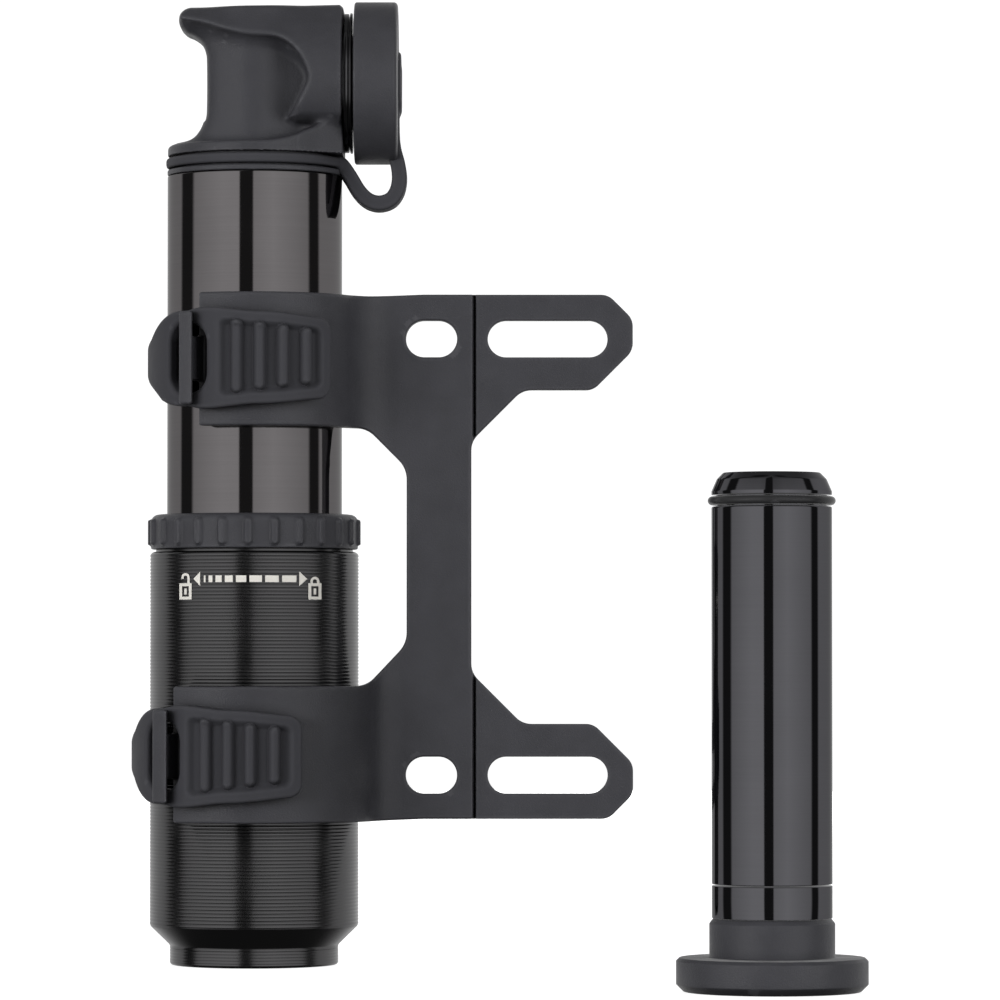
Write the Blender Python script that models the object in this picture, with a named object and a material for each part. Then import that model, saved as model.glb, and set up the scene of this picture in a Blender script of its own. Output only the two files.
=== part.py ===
"""Mini pump with a locking telescopic handle, a frame bracket with two rubber straps, and a storage capsule.

Axes: +Z runs up the pump to its head, +X points from the pump to the bracket's arms, and -Y is the front.
Every size below is measured from the pump's datum, which is the pump's axis at the bottom face of the handle.
The model's origin is the middle of the bracket's back face, midway between its two bosses: REFERENCE.
"""

import math

import bmesh
import bpy
from mathutils import Matrix, Vector

MM = 0.001

# ---------------------------------------------------------------- driving dimensions
GAP = 0.3 * MM                    # clearance left between neighbouring solids
ROUND = 32                        # facets round a large piece
SMALL_ROUND = 16                  # facets round a small or inner piece
CAPSULE_ROUND = 24                # facets round the capsule

# from the pump's datum to the middle of the bracket's back face
REFERENCE = Vector((27.0 * MM, 0.0, 59.8 * MM))

# pump, heights above the bottom face of the handle
END_RING_R = 12.3 * MM
END_RING_TOP = 2.2 * MM
SLEEVE_R = 15.3 * MM
SLEEVE_BORE_R = 13.4 * MM
SLEEVE_FOOT_Z = 2.5 * MM
SLEEVE_CHAMFER_TOP = 5.7 * MM
SLEEVE_WEB_TOP = 4.7 * MM
SLEEVE_TOP = 60.5 * MM
COLLAR_TOP = 66.0 * MM
COLLAR_R = 15.25 * MM
COLLAR_BAR_R = 15.5 * MM
COLLAR_BARS = 25
BARREL_R = 12.85 * MM
BARREL_BORE_R = 11.6 * MM
BARREL_FOOT_Z = 6.5 * MM
BARREL_TOP = 116.7 * MM
SHAFT_R = 9.7 * MM
SHAFT_BORE_R = 8.9 * MM
GUIDE_TOP = 9.0 * MM
SEAL_TOP = 10.5 * MM
PISTON_Z = 103.3 * MM
PISTON_TOP = 109.0 * MM
STROKE = 92.5 * MM

# head and nozzle
TETHER_RING_TOP = 118.4 * MM
HEAD_Z = 118.7 * MM
HEAD_TOP = 141.0 * MM
HEAD_R = 12.8 * MM
SPIGOT_Z = 110.0 * MM
SPIGOT_R = 11.3 * MM
NOZZLE_Z = 129.6 * MM
HOUSING_FACE_X = 13.2 * MM
HOUSING_R = 10.4 * MM
NOZZLE_R = 7.0 * MM
NOZZLE_END_X = 17.8 * MM
CHUCK_RING_R = 10.25 * MM
VALVE_R = 4.3 * MM                # chamber for the check valve
VALVE_TOP = 119.5 * MM
PASSAGE_R = 1.5 * MM
CAP_R = 11.95 * MM
CAP_X = 14.7 * MM
CAP_END_X = 20.7 * MM
CAP_HINGE = Vector((19.5 * MM, 0.0, 113.0 * MM))

# bracket
PLATE_T = 3.0 * MM
ARM_T = 2.5 * MM
BOSS_Z = (27.8 * MM, 91.8 * MM)   # two bosses, 64 mm apart
PLATE_BOTTOM = 21.4 * MM
PLATE_TOP = 98.3 * MM
ARM_END_X = 55.6 * MM
SPINE_X = (22.4 * MM, 31.9 * MM)
ARM_INNER_Z = (35.3 * MM, 84.3 * MM)    # edges of the two arms that face each other
SLOT_W = 5.4 * MM
LONG_SLOT_X = (34.3 * MM, 51.9 * MM)
SHORT_SLOT_X = (22.3 * MM, 29.8 * MM)

# saddles and straps: one row of sizes for each level
UPPER = {
    "name": "upper", "z": (78.6 * MM, 98.0 * MM), "mid": 88.3 * MM,
    "bore_r": 13.25 * MM, "skin_r": 15.6 * MM, "tip_x": -7.0 * MM, "bar_x": -9.2 * MM,
    "window_x": -8.9 * MM,
    "blend_r": 7.5 * MM, "pin": (15.4 * MM, 0.3 * MM), "band_r": (13.2 * MM, 15.7 * MM),
    "tab_r": 17.15 * MM, "tab_end_x": 11.7 * MM,
}
LOWER = {
    "name": "lower", "z": (21.1 * MM, 40.9 * MM), "mid": 30.8 * MM,
    "bore_r": 15.9 * MM, "skin_r": 18.1 * MM, "tip_x": -10.5 * MM, "bar_x": -12.7 * MM,
    "window_x": -12.35 * MM,
    "blend_r": 5.5 * MM, "pin": (18.3 * MM, 0.5 * MM), "band_r": (15.9 * MM, 18.0 * MM),
    "tab_r": 19.6 * MM, "tab_end_x": 7.3 * MM,
}
HOOK_BAR_W = 2.3 * MM
HOOK_BAR_T = 1.6 * MM
HOOK_BAR_GAP = 2.8 * MM           # from the saddle's skin to the back of the bar
HOOK_BAR_H = 13.4 * MM
HOOK_STEM_H = 6.4 * MM
LUG_HALF = 6.4 * MM               # from the strap's middle to the inner face of a lug
LUG_T = 2.0 * MM
PIN_R = 0.9 * MM
WINDOW = (5.6 * MM, 10.5 * MM)    # width and height of a tab's window
TAB_H = (12.0 * MM, 14.8 * MM, 11.0 * MM)    # heights of a tab at its root, at its widest and at its end

# capsule
CAPSULE_AT = Vector((72.85 * MM, -68.0 * MM, 0.0))
FLANGE_R = 13.0 * MM
FLANGE_H = 4.6 * MM
PLUG_COLLAR_R = 8.5 * MM
PLUG_COLLAR_TOP = 9.9 * MM
CAPSULE_R = 8.15 * MM
CAPSULE_BORE_R = 7.2 * MM
BASE_TOP = 14.2 * MM
CAPSULE_TOP = 70.1 * MM
CAPSULE_RING_R = 8.65 * MM

MATERIALS = {
    "anodised": ((0.020, 0.020, 0.022), 0.16, 0.9),
    "anodised_ribbed": ((0.018, 0.018, 0.020), 0.30, 0.9),
    "composite": ((0.045, 0.045, 0.050), 0.55, 0.0),
    "rubber": ((0.030, 0.030, 0.032), 0.70, 0.0),
    "bright_alloy": ((0.62, 0.62, 0.64), 0.28, 1.0),
    "steel": ((0.50, 0.50, 0.52), 0.25, 1.0),
    "seal": ((0.012, 0.012, 0.012), 0.60, 0.0),
}


# ---------------------------------------------------------------- modelling helpers
def clear_scene():
    """Remove whatever the file opened with."""
    for thing in list(bpy.data.objects):
        bpy.data.objects.remove(thing, do_unlink=True)


def material(name):
    """Return the named Principled material, made on first use."""
    found = bpy.data.materials.get(name)
    if found:
        return found
    colour, roughness, metallic = MATERIALS[name]
    made = bpy.data.materials.new(name)
    made.use_nodes = True
    shader = made.node_tree.nodes["Principled BSDF"]
    shader.inputs["Base Color"].default_value = (*colour, 1.0)
    shader.inputs["Roughness"].default_value = roughness
    shader.inputs["Metallic"].default_value = metallic
    return made


def solid(name, bm, finish=None, origin=None):
    """Turn a bmesh into an object with outward faces; origin moves the object's origin onto its axis."""
    bmesh.ops.recalc_face_normals(bm, faces=bm.faces)
    if bm.calc_volume(signed=True) < 0:
        bmesh.ops.reverse_faces(bm, faces=bm.faces)
    if origin is not None:
        bmesh.ops.translate(bm, verts=bm.verts, vec=-origin)
    mesh = bpy.data.meshes.new(name)
    bm.to_mesh(mesh)
    bm.free()
    made = bpy.data.objects.new(name, mesh)
    bpy.context.collection.objects.link(made)
    if origin is not None:
        made.location = origin
    if finish:
        mesh.materials.append(material(finish))
        mesh.shade_smooth()
        mesh.set_sharp_from_angle(angle=math.radians(32))
    return made


def lathe(profile, axis="Z", centre=(0.0, 0.0, 0.0), sides=ROUND):
    """Revolve a closed (radius, height) profile; a point at radius 0 closes the shape on the axis."""
    turn = {"Z": Matrix.Identity(4), "X": Matrix.Rotation(math.pi / 2, 4, "Y")}[axis]
    place = Matrix.Translation(centre) @ turn
    bm = bmesh.new()
    rings = []
    for radius, height in profile:
        if radius == 0.0:
            rings.append([bm.verts.new(place @ Vector((0.0, 0.0, height)))])
            continue
        ring = []
        for k in range(sides):
            angle = 2 * math.pi * k / sides
            point = Vector((radius * math.cos(angle), radius * math.sin(angle), height))
            ring.append(bm.verts.new(place @ point))
        rings.append(ring)
    for below, above in zip(rings, rings[1:] + rings[:1]):
        for k in range(sides):
            n = (k + 1) % sides
            if len(below) == 1 and len(above) == 1:
                break
            if len(below) == 1:
                bm.faces.new((below[0], above[n], above[k]))
            elif len(above) == 1:
                bm.faces.new((below[k], below[n], above[0]))
            else:
                bm.faces.new((below[k], below[n], above[n], above[k]))
    return bm


def tube_profile(inner, outer, low, high):
    """Closed profile of a plain ring."""
    return [(inner, low), (outer, low), (outer, high), (inner, high)]


def prism(outline, low, high, up="Z"):
    """Extrude a closed outline: an XY outline along Z, or an XZ outline along Y."""
    bm = bmesh.new()

    def corner(point, level):
        if up == "Z":
            return Vector((point[0], point[1], level))
        return Vector((point[0], level, point[1]))

    bottom = [bm.verts.new(corner(p, low)) for p in outline]
    top = [bm.verts.new(corner(p, high)) for p in outline]
    bm.faces.new(bottom)
    bm.faces.new(list(reversed(top)))
    count = len(outline)
    for k in range(count):
        n = (k + 1) % count
        bm.faces.new((bottom[k], top[k], top[n], bottom[n]))
    return bm


def arc(centre, radius, start, end, steps):
    """Points on an arc, angles in degrees."""
    points = []
    for k in range(steps + 1):
        angle = math.radians(start + (end - start) * k / steps)
        points.append((centre[0] + radius * math.cos(angle), centre[1] + radius * math.sin(angle)))
    return points


def slot_outline(x_low, x_high, z_mid, width, steps=8):
    """Round-ended slot along X."""
    half = width / 2
    right = arc((x_high - half, z_mid), half, -90, 90, steps)
    left = arc((x_low + half, z_mid), half, 90, 270, steps)
    return right + left


def combine(target, other, operation):
    """Apply a Boolean of other on target and remove other."""
    change = target.modifiers.new("combine", "BOOLEAN")
    change.operation = operation
    change.solver = "EXACT"
    change.object = other
    bpy.context.view_layer.update()
    graph = bpy.context.evaluated_depsgraph_get()
    result = bpy.data.meshes.new_from_object(target.evaluated_get(graph))
    target.modifiers.clear()
    target.data = result
    bpy.data.objects.remove(other, do_unlink=True)


def add(target, bm):
    combine(target, solid("addition", bm), "UNION")


def cut(target, bm):
    combine(target, solid("cutter", bm), "DIFFERENCE")


def shade(target, finish):
    """Give a finished Boolean result its material and smooth shading."""
    target.data.materials.clear()
    target.data.materials.append(material(finish))
    target.data.shade_smooth()
    target.data.set_sharp_from_angle(angle=math.radians(32))


def shell_sweep(path, widths):
    """Loft boxes along a path in the XY plane.

    path holds (centre radius, angle in degrees, half thickness); widths holds (low z, high z) for each place.
    """
    bm = bmesh.new()
    sections = []
    for (radius, degrees, half), (low, high) in zip(path, widths):
        out = Vector((math.cos(math.radians(degrees)), math.sin(math.radians(degrees)), 0.0))
        corners = [(radius - half, low), (radius + half, low), (radius + half, high), (radius - half, high)]
        sections.append([bm.verts.new(out * r + Vector((0.0, 0.0, z))) for r, z in corners])
    for first, second in zip(sections, sections[1:]):
        for k in range(4):
            n = (k + 1) % 4
            bm.faces.new((first[k], first[n], second[n], second[k]))
    bm.faces.new(sections[0])
    bm.faces.new(list(reversed(sections[-1])))
    return bm


# ---------------------------------------------------------------- handle
def build_handle():
    foot_r = END_RING_R + 0.1 * MM
    sleeve = [
        (SHAFT_R + GAP, SLEEVE_FOOT_Z), (foot_r, SLEEVE_FOOT_Z), (SLEEVE_R, SLEEVE_CHAMFER_TOP),
        (SLEEVE_R, SLEEVE_TOP), (SLEEVE_BORE_R, SLEEVE_TOP), (SLEEVE_BORE_R, SLEEVE_WEB_TOP),
        (SHAFT_R + GAP, SLEEVE_WEB_TOP),
    ]
    solid("handle_sleeve", lathe(sleeve), "anodised_ribbed")

    edge = 0.5 * MM
    ring_bore = SHAFT_R + GAP
    ring = [
        (ring_bore, 0.0), (END_RING_R - edge, 0.0), (END_RING_R, edge), (END_RING_R, END_RING_TOP),
        (ring_bore, END_RING_TOP),
    ]
    solid("shaft_end_ring", lathe(ring), "anodised_ribbed")

    shaft = tube_profile(SHAFT_BORE_R, SHAFT_R, 0.0, PISTON_Z - GAP)
    solid("hollow_shaft", lathe(shaft), "bright_alloy")

    bumper = tube_profile(SHAFT_R + GAP, SLEEVE_BORE_R - GAP, SLEEVE_WEB_TOP + GAP, BARREL_FOOT_Z - GAP)
    solid("bumper_ring", lathe(bumper), "rubber")


def build_piston():
    skirt_r = SHAFT_BORE_R - GAP
    spigot_z = PISTON_Z - 4.3 * MM
    crown_r = BARREL_BORE_R - GAP
    groove_r = crown_r - 1.8 * MM
    groove = (PISTON_Z + 1.7 * MM, PISTON_Z + 3.9 * MM)
    bolt_r = 2.0 * MM
    piston = [
        (bolt_r + GAP, spigot_z), (skirt_r, spigot_z), (skirt_r, PISTON_Z), (crown_r, PISTON_Z),
        (crown_r, groove[0]), (groove_r, groove[0]), (groove_r, groove[1]), (crown_r, groove[1]),
        (crown_r, PISTON_TOP - 2.2 * MM), (bolt_r + GAP, PISTON_TOP - 2.2 * MM),
    ]
    solid("piston", lathe(piston), "composite")
    seal = tube_profile(groove_r + GAP, crown_r + 0.1 * MM, groove[0] + GAP, groove[1] - GAP)
    solid("piston_o_ring", lathe(seal), "seal")
    head_z = PISTON_TOP - 2.2 * MM + GAP
    bolt = [
        (0.0, spigot_z - 2.0 * MM), (bolt_r, spigot_z - 2.0 * MM), (bolt_r, head_z), (4.0 * MM, head_z),
        (4.0 * MM, PISTON_TOP - 0.4 * MM), (0.0, PISTON_TOP - 0.4 * MM),
    ]
    solid("piston_bolt", lathe(bolt, sides=SMALL_ROUND), "steel")


def build_collar():
    lip_r = BARREL_R + 0.35 * MM
    recess_r = SLEEVE_BORE_R + 1.0 * MM
    low = SLEEVE_TOP + GAP + 0.1 * MM
    recess_top = 64.6 * MM
    round_off = 0.8 * MM
    profile = [
        (recess_r, low), (COLLAR_R, low), (COLLAR_R, COLLAR_TOP - round_off),
        (COLLAR_R - round_off, COLLAR_TOP), (lip_r, COLLAR_TOP), (lip_r, recess_top), (recess_r, recess_top),
    ]
    collar = solid("lock_collar", lathe(profile, sides=COLLAR_BARS))
    half = 0.6 * MM
    for k in range(COLLAR_BARS):
        place = Matrix.Rotation(2 * math.pi * k / COLLAR_BARS, 4, "Z")
        bar = prism(
            [(COLLAR_R - 0.5 * MM, -half), (COLLAR_BAR_R, -half), (COLLAR_BAR_R, half),
             (COLLAR_R - 0.5 * MM, half)],
            low + 0.8 * MM, COLLAR_TOP - 1.3 * MM,
        )
        bmesh.ops.transform(bar, matrix=place, verts=bar.verts)
        add(collar, bar)
    shade(collar, "composite")
    wedge = tube_profile(lip_r, recess_r - GAP, low + GAP, low + GAP + 2.1 * MM)
    solid("lock_wedge", lathe(wedge), "composite")


# ---------------------------------------------------------------- barrel
def build_barrel():
    solid("barrel_tube", lathe(tube_profile(BARREL_BORE_R, BARREL_R, BARREL_FOOT_Z, BARREL_TOP)), "anodised")
    guide = tube_profile(SHAFT_R + GAP, BARREL_BORE_R - GAP, BARREL_FOOT_Z, GUIDE_TOP)
    solid("barrel_guide", lathe(guide), "composite")
    seal = tube_profile(SHAFT_R + GAP, BARREL_BORE_R - GAP, GUIDE_TOP + GAP, SEAL_TOP)
    solid("guide_seal", lathe(seal), "seal")


# ---------------------------------------------------------------- head

def head_outline():
    """Side view of the moulded head, XZ: flange, waist, horn, nearly flat top and the nozzle's face."""
    horn_r = 2.1 * MM
    horn = (-9.25 * MM, 138.4 * MM)
    flange_top = HEAD_Z + 1.6 * MM
    outline = [
        (-HEAD_R, HEAD_Z), (HOUSING_FACE_X, HEAD_Z), (HOUSING_FACE_X, HEAD_TOP - 1.4 * MM),
    ]
    outline += arc((HOUSING_FACE_X - 1.2 * MM, HEAD_TOP - 1.4 * MM), 1.2 * MM, 20, 90, 4)
    outline += arc(horn, horn_r, 95, 225, 8)
    outline += arc((-11.8 * MM, 132.8 * MM), 4.6 * MM, 55, 0, 5)
    outline += arc((-12.2 * MM, flange_top + 5.0 * MM), 5.0 * MM, 0, -85, 7)
    outline += [(-HEAD_R, flange_top)]
    return outline


def build_head():
    """A round column shaped by its side view, a nozzle housing across it and a finger scoop on each face."""
    column = [
        (0.0, HEAD_Z), (HEAD_R, HEAD_Z), (HEAD_R, 120.1 * MM), (HEAD_R - 0.4 * MM, HEAD_TOP), (0.0, HEAD_TOP),
    ]
    head = solid("pump_head", lathe(column))
    shape = solid("side_view", prism(head_outline(), -20 * MM, 20 * MM, up="Y"))
    combine(head, shape, "INTERSECT")
    housing = [(0.0, 1.0 * MM), (HOUSING_R, 1.0 * MM), (HOUSING_R, HOUSING_FACE_X), (0.0, HOUSING_FACE_X)]
    add(head, lathe(housing, "X", (0.0, 0.0, NOZZLE_Z)))
    scoop_z = 131.0 * MM
    for side in (-1, 1):
        scoop = bmesh.new()
        bmesh.ops.create_uvsphere(scoop, u_segments=16, v_segments=10, radius=1.0)
        size = Matrix.Diagonal((9.0 * MM, 5.2 * MM, 9.6 * MM, 1.0))
        lean = Matrix.Rotation(math.radians(18), 4, "Y")
        place = Matrix.Translation((-1.0 * MM, side * 11.2 * MM, scoop_z)) @ lean @ size
        bmesh.ops.transform(scoop, matrix=place, verts=scoop.verts)
        cut(head, scoop)
    spigot = [
        (0.0, SPIGOT_Z), (SPIGOT_R, SPIGOT_Z), (SPIGOT_R, 111.7 * MM), (9.7 * MM, 111.7 * MM),
        (9.7 * MM, 113.7 * MM), (SPIGOT_R, 113.7 * MM), (SPIGOT_R, HEAD_Z + 0.5 * MM), (0.0, HEAD_Z + 0.5 * MM),
    ]
    add(head, lathe(spigot))
    chamber = [(0.0, SPIGOT_Z - 1 * MM), (VALVE_R, SPIGOT_Z - 1 * MM), (VALVE_R, VALVE_TOP), (0.0, VALVE_TOP)]
    cut(head, lathe(chamber, sides=SMALL_ROUND))
    passage = [(0.0, VALVE_TOP - 1 * MM), (PASSAGE_R, VALVE_TOP - 1 * MM), (PASSAGE_R, NOZZLE_Z), (0.0, NOZZLE_Z)]
    cut(head, lathe(passage, sides=12))
    chuck = [
        (0.0, -2.0 * MM), (PASSAGE_R, -2.0 * MM), (PASSAGE_R, 4.7 * MM), (NOZZLE_R + GAP, 4.7 * MM),
        (NOZZLE_R + GAP, 8.7 * MM), (8.9 * MM, 8.7 * MM), (8.9 * MM, 15.0 * MM), (0.0, 15.0 * MM),
    ]
    cut(head, lathe(chuck, "X", (0.0, 0.0, NOZZLE_Z), sides=SMALL_ROUND))
    shade(head, "composite")
    o_ring = tube_profile(9.7 * MM + GAP, SPIGOT_R, 111.7 * MM + GAP, 113.7 * MM - GAP)
    solid("head_o_ring", lathe(o_ring), "seal")


def build_check_valve():
    """Seat, disc and spring of the one-way valve in the spigot's chamber."""
    seat = tube_profile(1.6 * MM, VALVE_R - GAP, SPIGOT_Z + 0.2 * MM, SPIGOT_Z + 1.5 * MM)
    solid("valve_seat", lathe(seat, sides=SMALL_ROUND), "steel")
    disc_low = SPIGOT_Z + 1.8 * MM
    disc_high = disc_low + 1.0 * MM
    disc = [(0.0, disc_low), (3.4 * MM, disc_low), (3.4 * MM, disc_high), (0.0, disc_high)]
    solid("check_valve_disc", lathe(disc, sides=SMALL_ROUND), "seal")
    coil = coil_mesh(2.6 * MM, 0.35 * MM, disc_high + 0.7 * MM, VALVE_TOP - 0.7 * MM, 4)
    solid("check_valve_spring", coil, "steel")


def coil_mesh(radius, wire, low, high, turns, per_turn=10, sides=5):
    """Round wire on a helix about the pump's axis, with flat-cut ends."""
    bm = bmesh.new()
    steps = turns * per_turn
    rings = []
    for k in range(steps + 1):
        angle = 2 * math.pi * k / per_turn
        out = Vector((math.cos(angle), math.sin(angle), 0.0))
        centre = out * radius + Vector((0.0, 0.0, low + (high - low) * k / steps))
        ring = []
        for s in range(sides):
            around = 2 * math.pi * s / sides
            rise = Vector((0.0, 0.0, wire * math.sin(around)))
            ring.append(bm.verts.new(centre + out * wire * math.cos(around) + rise))
        rings.append(ring)
    for first, second in zip(rings, rings[1:]):
        for s in range(sides):
            n = (s + 1) % sides
            bm.faces.new((first[s], first[n], second[n], second[s]))
    bm.faces.new(rings[0])
    bm.faces.new(list(reversed(rings[-1])))
    return bm


def build_nozzle():
    """Nozzle shell, gasket and plunger in the housing, and the ring that tightens them."""
    at = (0.0, 0.0, NOZZLE_Z)
    nozzle = [
        (5.6 * MM, 8.5 * MM), (NOZZLE_R, 8.5 * MM), (NOZZLE_R, NOZZLE_END_X - 0.8 * MM),
        (NOZZLE_R - 0.8 * MM, NOZZLE_END_X), (3.6 * MM, NOZZLE_END_X), (3.6 * MM, 16.6 * MM),
        (5.6 * MM, 16.6 * MM),
    ]
    solid("valve_nozzle", lathe(nozzle, "X", at, SMALL_ROUND), "composite")
    gasket = tube_profile(2.8 * MM, 5.3 * MM, 9.0 * MM, 16.3 * MM)
    solid("chuck_gasket", lathe(gasket, "X", at, SMALL_ROUND), "rubber")
    plunger = tube_profile(1.2 * MM, 6.6 * MM, 5.0 * MM, 8.2 * MM)
    solid("chuck_plunger", lathe(plunger, "X", at, SMALL_ROUND), "composite")
    low = HOUSING_FACE_X + GAP
    high = CAP_X - GAP
    ring = [
        (NOZZLE_R + GAP, 9.0 * MM), (8.6 * MM, 9.0 * MM), (8.6 * MM, low), (CHUCK_RING_R, low),
        (CHUCK_RING_R, high), (NOZZLE_R + GAP, high),
    ]
    solid("chuck_ring", lathe(ring, "X", at), "anodised", Vector(at))


def build_cap_and_tether():
    """Dust cap with the strap that leaves it, and the tether ring with its tongue; they meet at the hinge."""
    wall = 1.5 * MM
    edge = 0.7 * MM
    cap = [
        (CAP_R - wall, CAP_X), (CAP_R - 0.3 * MM, CAP_X), (CAP_R, CAP_X + 0.3 * MM),
        (CAP_R, CAP_END_X - edge), (CAP_R - edge, CAP_END_X), (0.0, CAP_END_X),
        (0.0, CAP_END_X - wall), (CAP_R - wall, CAP_END_X - wall),
    ]
    solid("dust_cap", lathe(cap, "X", (0.0, 0.0, NOZZLE_Z)), "composite", CAP_HINGE)

    half_w = 3.0 * MM
    hinge = (CAP_HINGE.x, CAP_HINGE.z)
    bend = (19.9 * MM, 115.2 * MM)
    outer = [(hinge[0] + 0.3 * MM, hinge[1] - 1.15 * MM)] + arc(bend, 3.35 * MM, -80, 0, 6)
    outer += [(23.3 * MM, 117.4 * MM), (22.3 * MM, 126.0 * MM), (CAP_END_X + GAP, 129.0 * MM)]
    inner = [(CAP_END_X + GAP, 117.6 * MM)] + arc(bend, 1.1 * MM, 0, -80, 5)
    inner += [(hinge[0] + 0.3 * MM, hinge[1] + 1.15 * MM)]
    solid("cap_strap", prism(outer + inner, -half_w, half_w, up="Y"), "rubber", CAP_HINGE)

    ring = tube_profile(SPIGOT_R + GAP, 13.0 * MM, BARREL_TOP + GAP, TETHER_RING_TOP)
    tether = solid("tether_ring", lathe(ring))
    end_x = hinge[0] - 0.3 * MM
    tongue = [
        (12.3 * MM, BARREL_TOP + GAP), (13.2 * MM, BARREL_TOP + GAP - 0.4 * MM), (15.4 * MM, 113.0 * MM),
        (17.4 * MM, 111.7 * MM), (end_x, 111.85 * MM), (end_x, 114.1 * MM), (17.9 * MM, 114.1 * MM),
        (16.6 * MM, 115.2 * MM), (14.5 * MM, 117.1 * MM), (13.4 * MM, TETHER_RING_TOP),
        (12.3 * MM, TETHER_RING_TOP),
    ]
    add(tether, prism(tongue, -half_w, half_w, up="Y"))
    shade(tether, "rubber")


# ---------------------------------------------------------------- bracket
def saddle_outline(level):
    """XY outline of a saddle: an arc round the pump's front, blended back into the plate."""
    bore, skin, blend = level["bore_r"], level["skin_r"], level["blend_r"]
    wall = skin - bore
    turn = math.degrees(math.asin((PLATE_T + blend) / (skin + blend)))
    centre = ((skin + blend) * math.cos(math.radians(turn)), -PLATE_T - blend)
    mean_r = (bore + skin) / 2
    tip = -math.degrees(math.acos(level["tip_x"] / mean_r))
    outer = arc((0.0, 0.0), skin - 0.25 * MM, tip, tip + 4, 1)
    outer += arc((0.0, 0.0), skin, tip + 8, -turn, 14)
    outer += arc(centre, blend, 180 - turn, 90, 6)[1:]
    far = SPINE_X[0] + 1.5 * MM
    back = [(far, -PLATE_T), (far, 0.0), (centre[0] + 1.0 * MM, 0.0)]
    inner = arc(centre, blend + wall, 90, 180 - turn, 6)
    inner += arc((0.0, 0.0), bore, -turn, tip, 16)[1:]
    return outer + back + inner


def hook_outline(level):
    """XY outline of a hook: a stem that leaves the saddle's tip and the bar on its end."""
    skin, bore = level["skin_r"], level["bore_r"]
    bar_in = skin + HOOK_BAR_GAP
    bar_out = bar_in + HOOK_BAR_T
    middle = -math.degrees(math.acos(level["bar_x"] / bar_out))
    half = math.degrees(HOOK_BAR_W / 2 / bar_out)
    tip = -math.degrees(math.acos(level["tip_x"] / ((bore + skin) / 2)))
    stem_in = arc((0.0, 0.0), bore + 0.5 * MM, tip + 3, tip - 2, 2)
    stem_side = arc((0.0, 0.0), bar_in, middle - half * 0.4, middle + half * 0.4, 2)
    stem = stem_in + stem_side + [stem_point(skin - 0.4 * MM, tip + 3.5)]
    bar = arc((0.0, 0.0), bar_in - 0.05 * MM, middle - half, middle + half, 3)
    bar += arc((0.0, 0.0), bar_out, middle + half, middle - half, 3)
    return stem, bar


def stem_point(radius, degrees):
    angle = math.radians(degrees)
    return (radius * math.cos(angle), radius * math.sin(angle))


def rounded(corners, steps=3):
    """Outline from (x, z, radius) corners, each corner rounded by its own radius."""
    outline = []
    for k, (x, z, radius) in enumerate(corners):
        here = Vector((x, z))
        if radius == 0:
            outline.append((x, z))
            continue
        back = (Vector(corners[k - 1][:2]) - here).normalized()
        ahead = (Vector(corners[(k + 1) % len(corners)][:2]) - here).normalized()
        half = back.angle(ahead) / 2
        middle = here + (back + ahead).normalized() * radius / math.sin(half)
        first = here + back * radius / math.tan(half) - middle
        last = here + ahead * radius / math.tan(half) - middle
        turn = math.atan2(first.x * last.y - first.y * last.x, first.dot(last))
        for step in range(steps + 1):
            point = middle + Matrix.Rotation(turn * step / steps, 2) @ first
            outline.append((point.x, point.y))
    return outline


def plate_outline():
    """XZ outline of the bracket's plate: a spine and two arms with cut corners and diagonal gussets."""
    left, right = SPINE_X
    bottom, top = ARM_INNER_Z
    outer_cut = 3.6 * MM
    inner_cut = 5.8 * MM
    gusset = 7.5 * MM
    corner_r = 2.5 * MM
    fillet_r = 3.0 * MM
    return rounded([
        (left, PLATE_BOTTOM, 0),
        (ARM_END_X - outer_cut, PLATE_BOTTOM, corner_r),
        (ARM_END_X, PLATE_BOTTOM + outer_cut, corner_r),
        (ARM_END_X, bottom - inner_cut, corner_r),
        (ARM_END_X - inner_cut, bottom, corner_r),
        (right + gusset, bottom, fillet_r),
        (right, bottom + gusset, fillet_r),
        (right, top - gusset, fillet_r),
        (right + gusset, top, fillet_r),
        (ARM_END_X - inner_cut, top, corner_r),
        (ARM_END_X, top + inner_cut, corner_r),
        (ARM_END_X, PLATE_TOP - outer_cut, corner_r),
        (ARM_END_X - outer_cut, PLATE_TOP, corner_r),
        (left, PLATE_TOP, 0),
    ])


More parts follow.
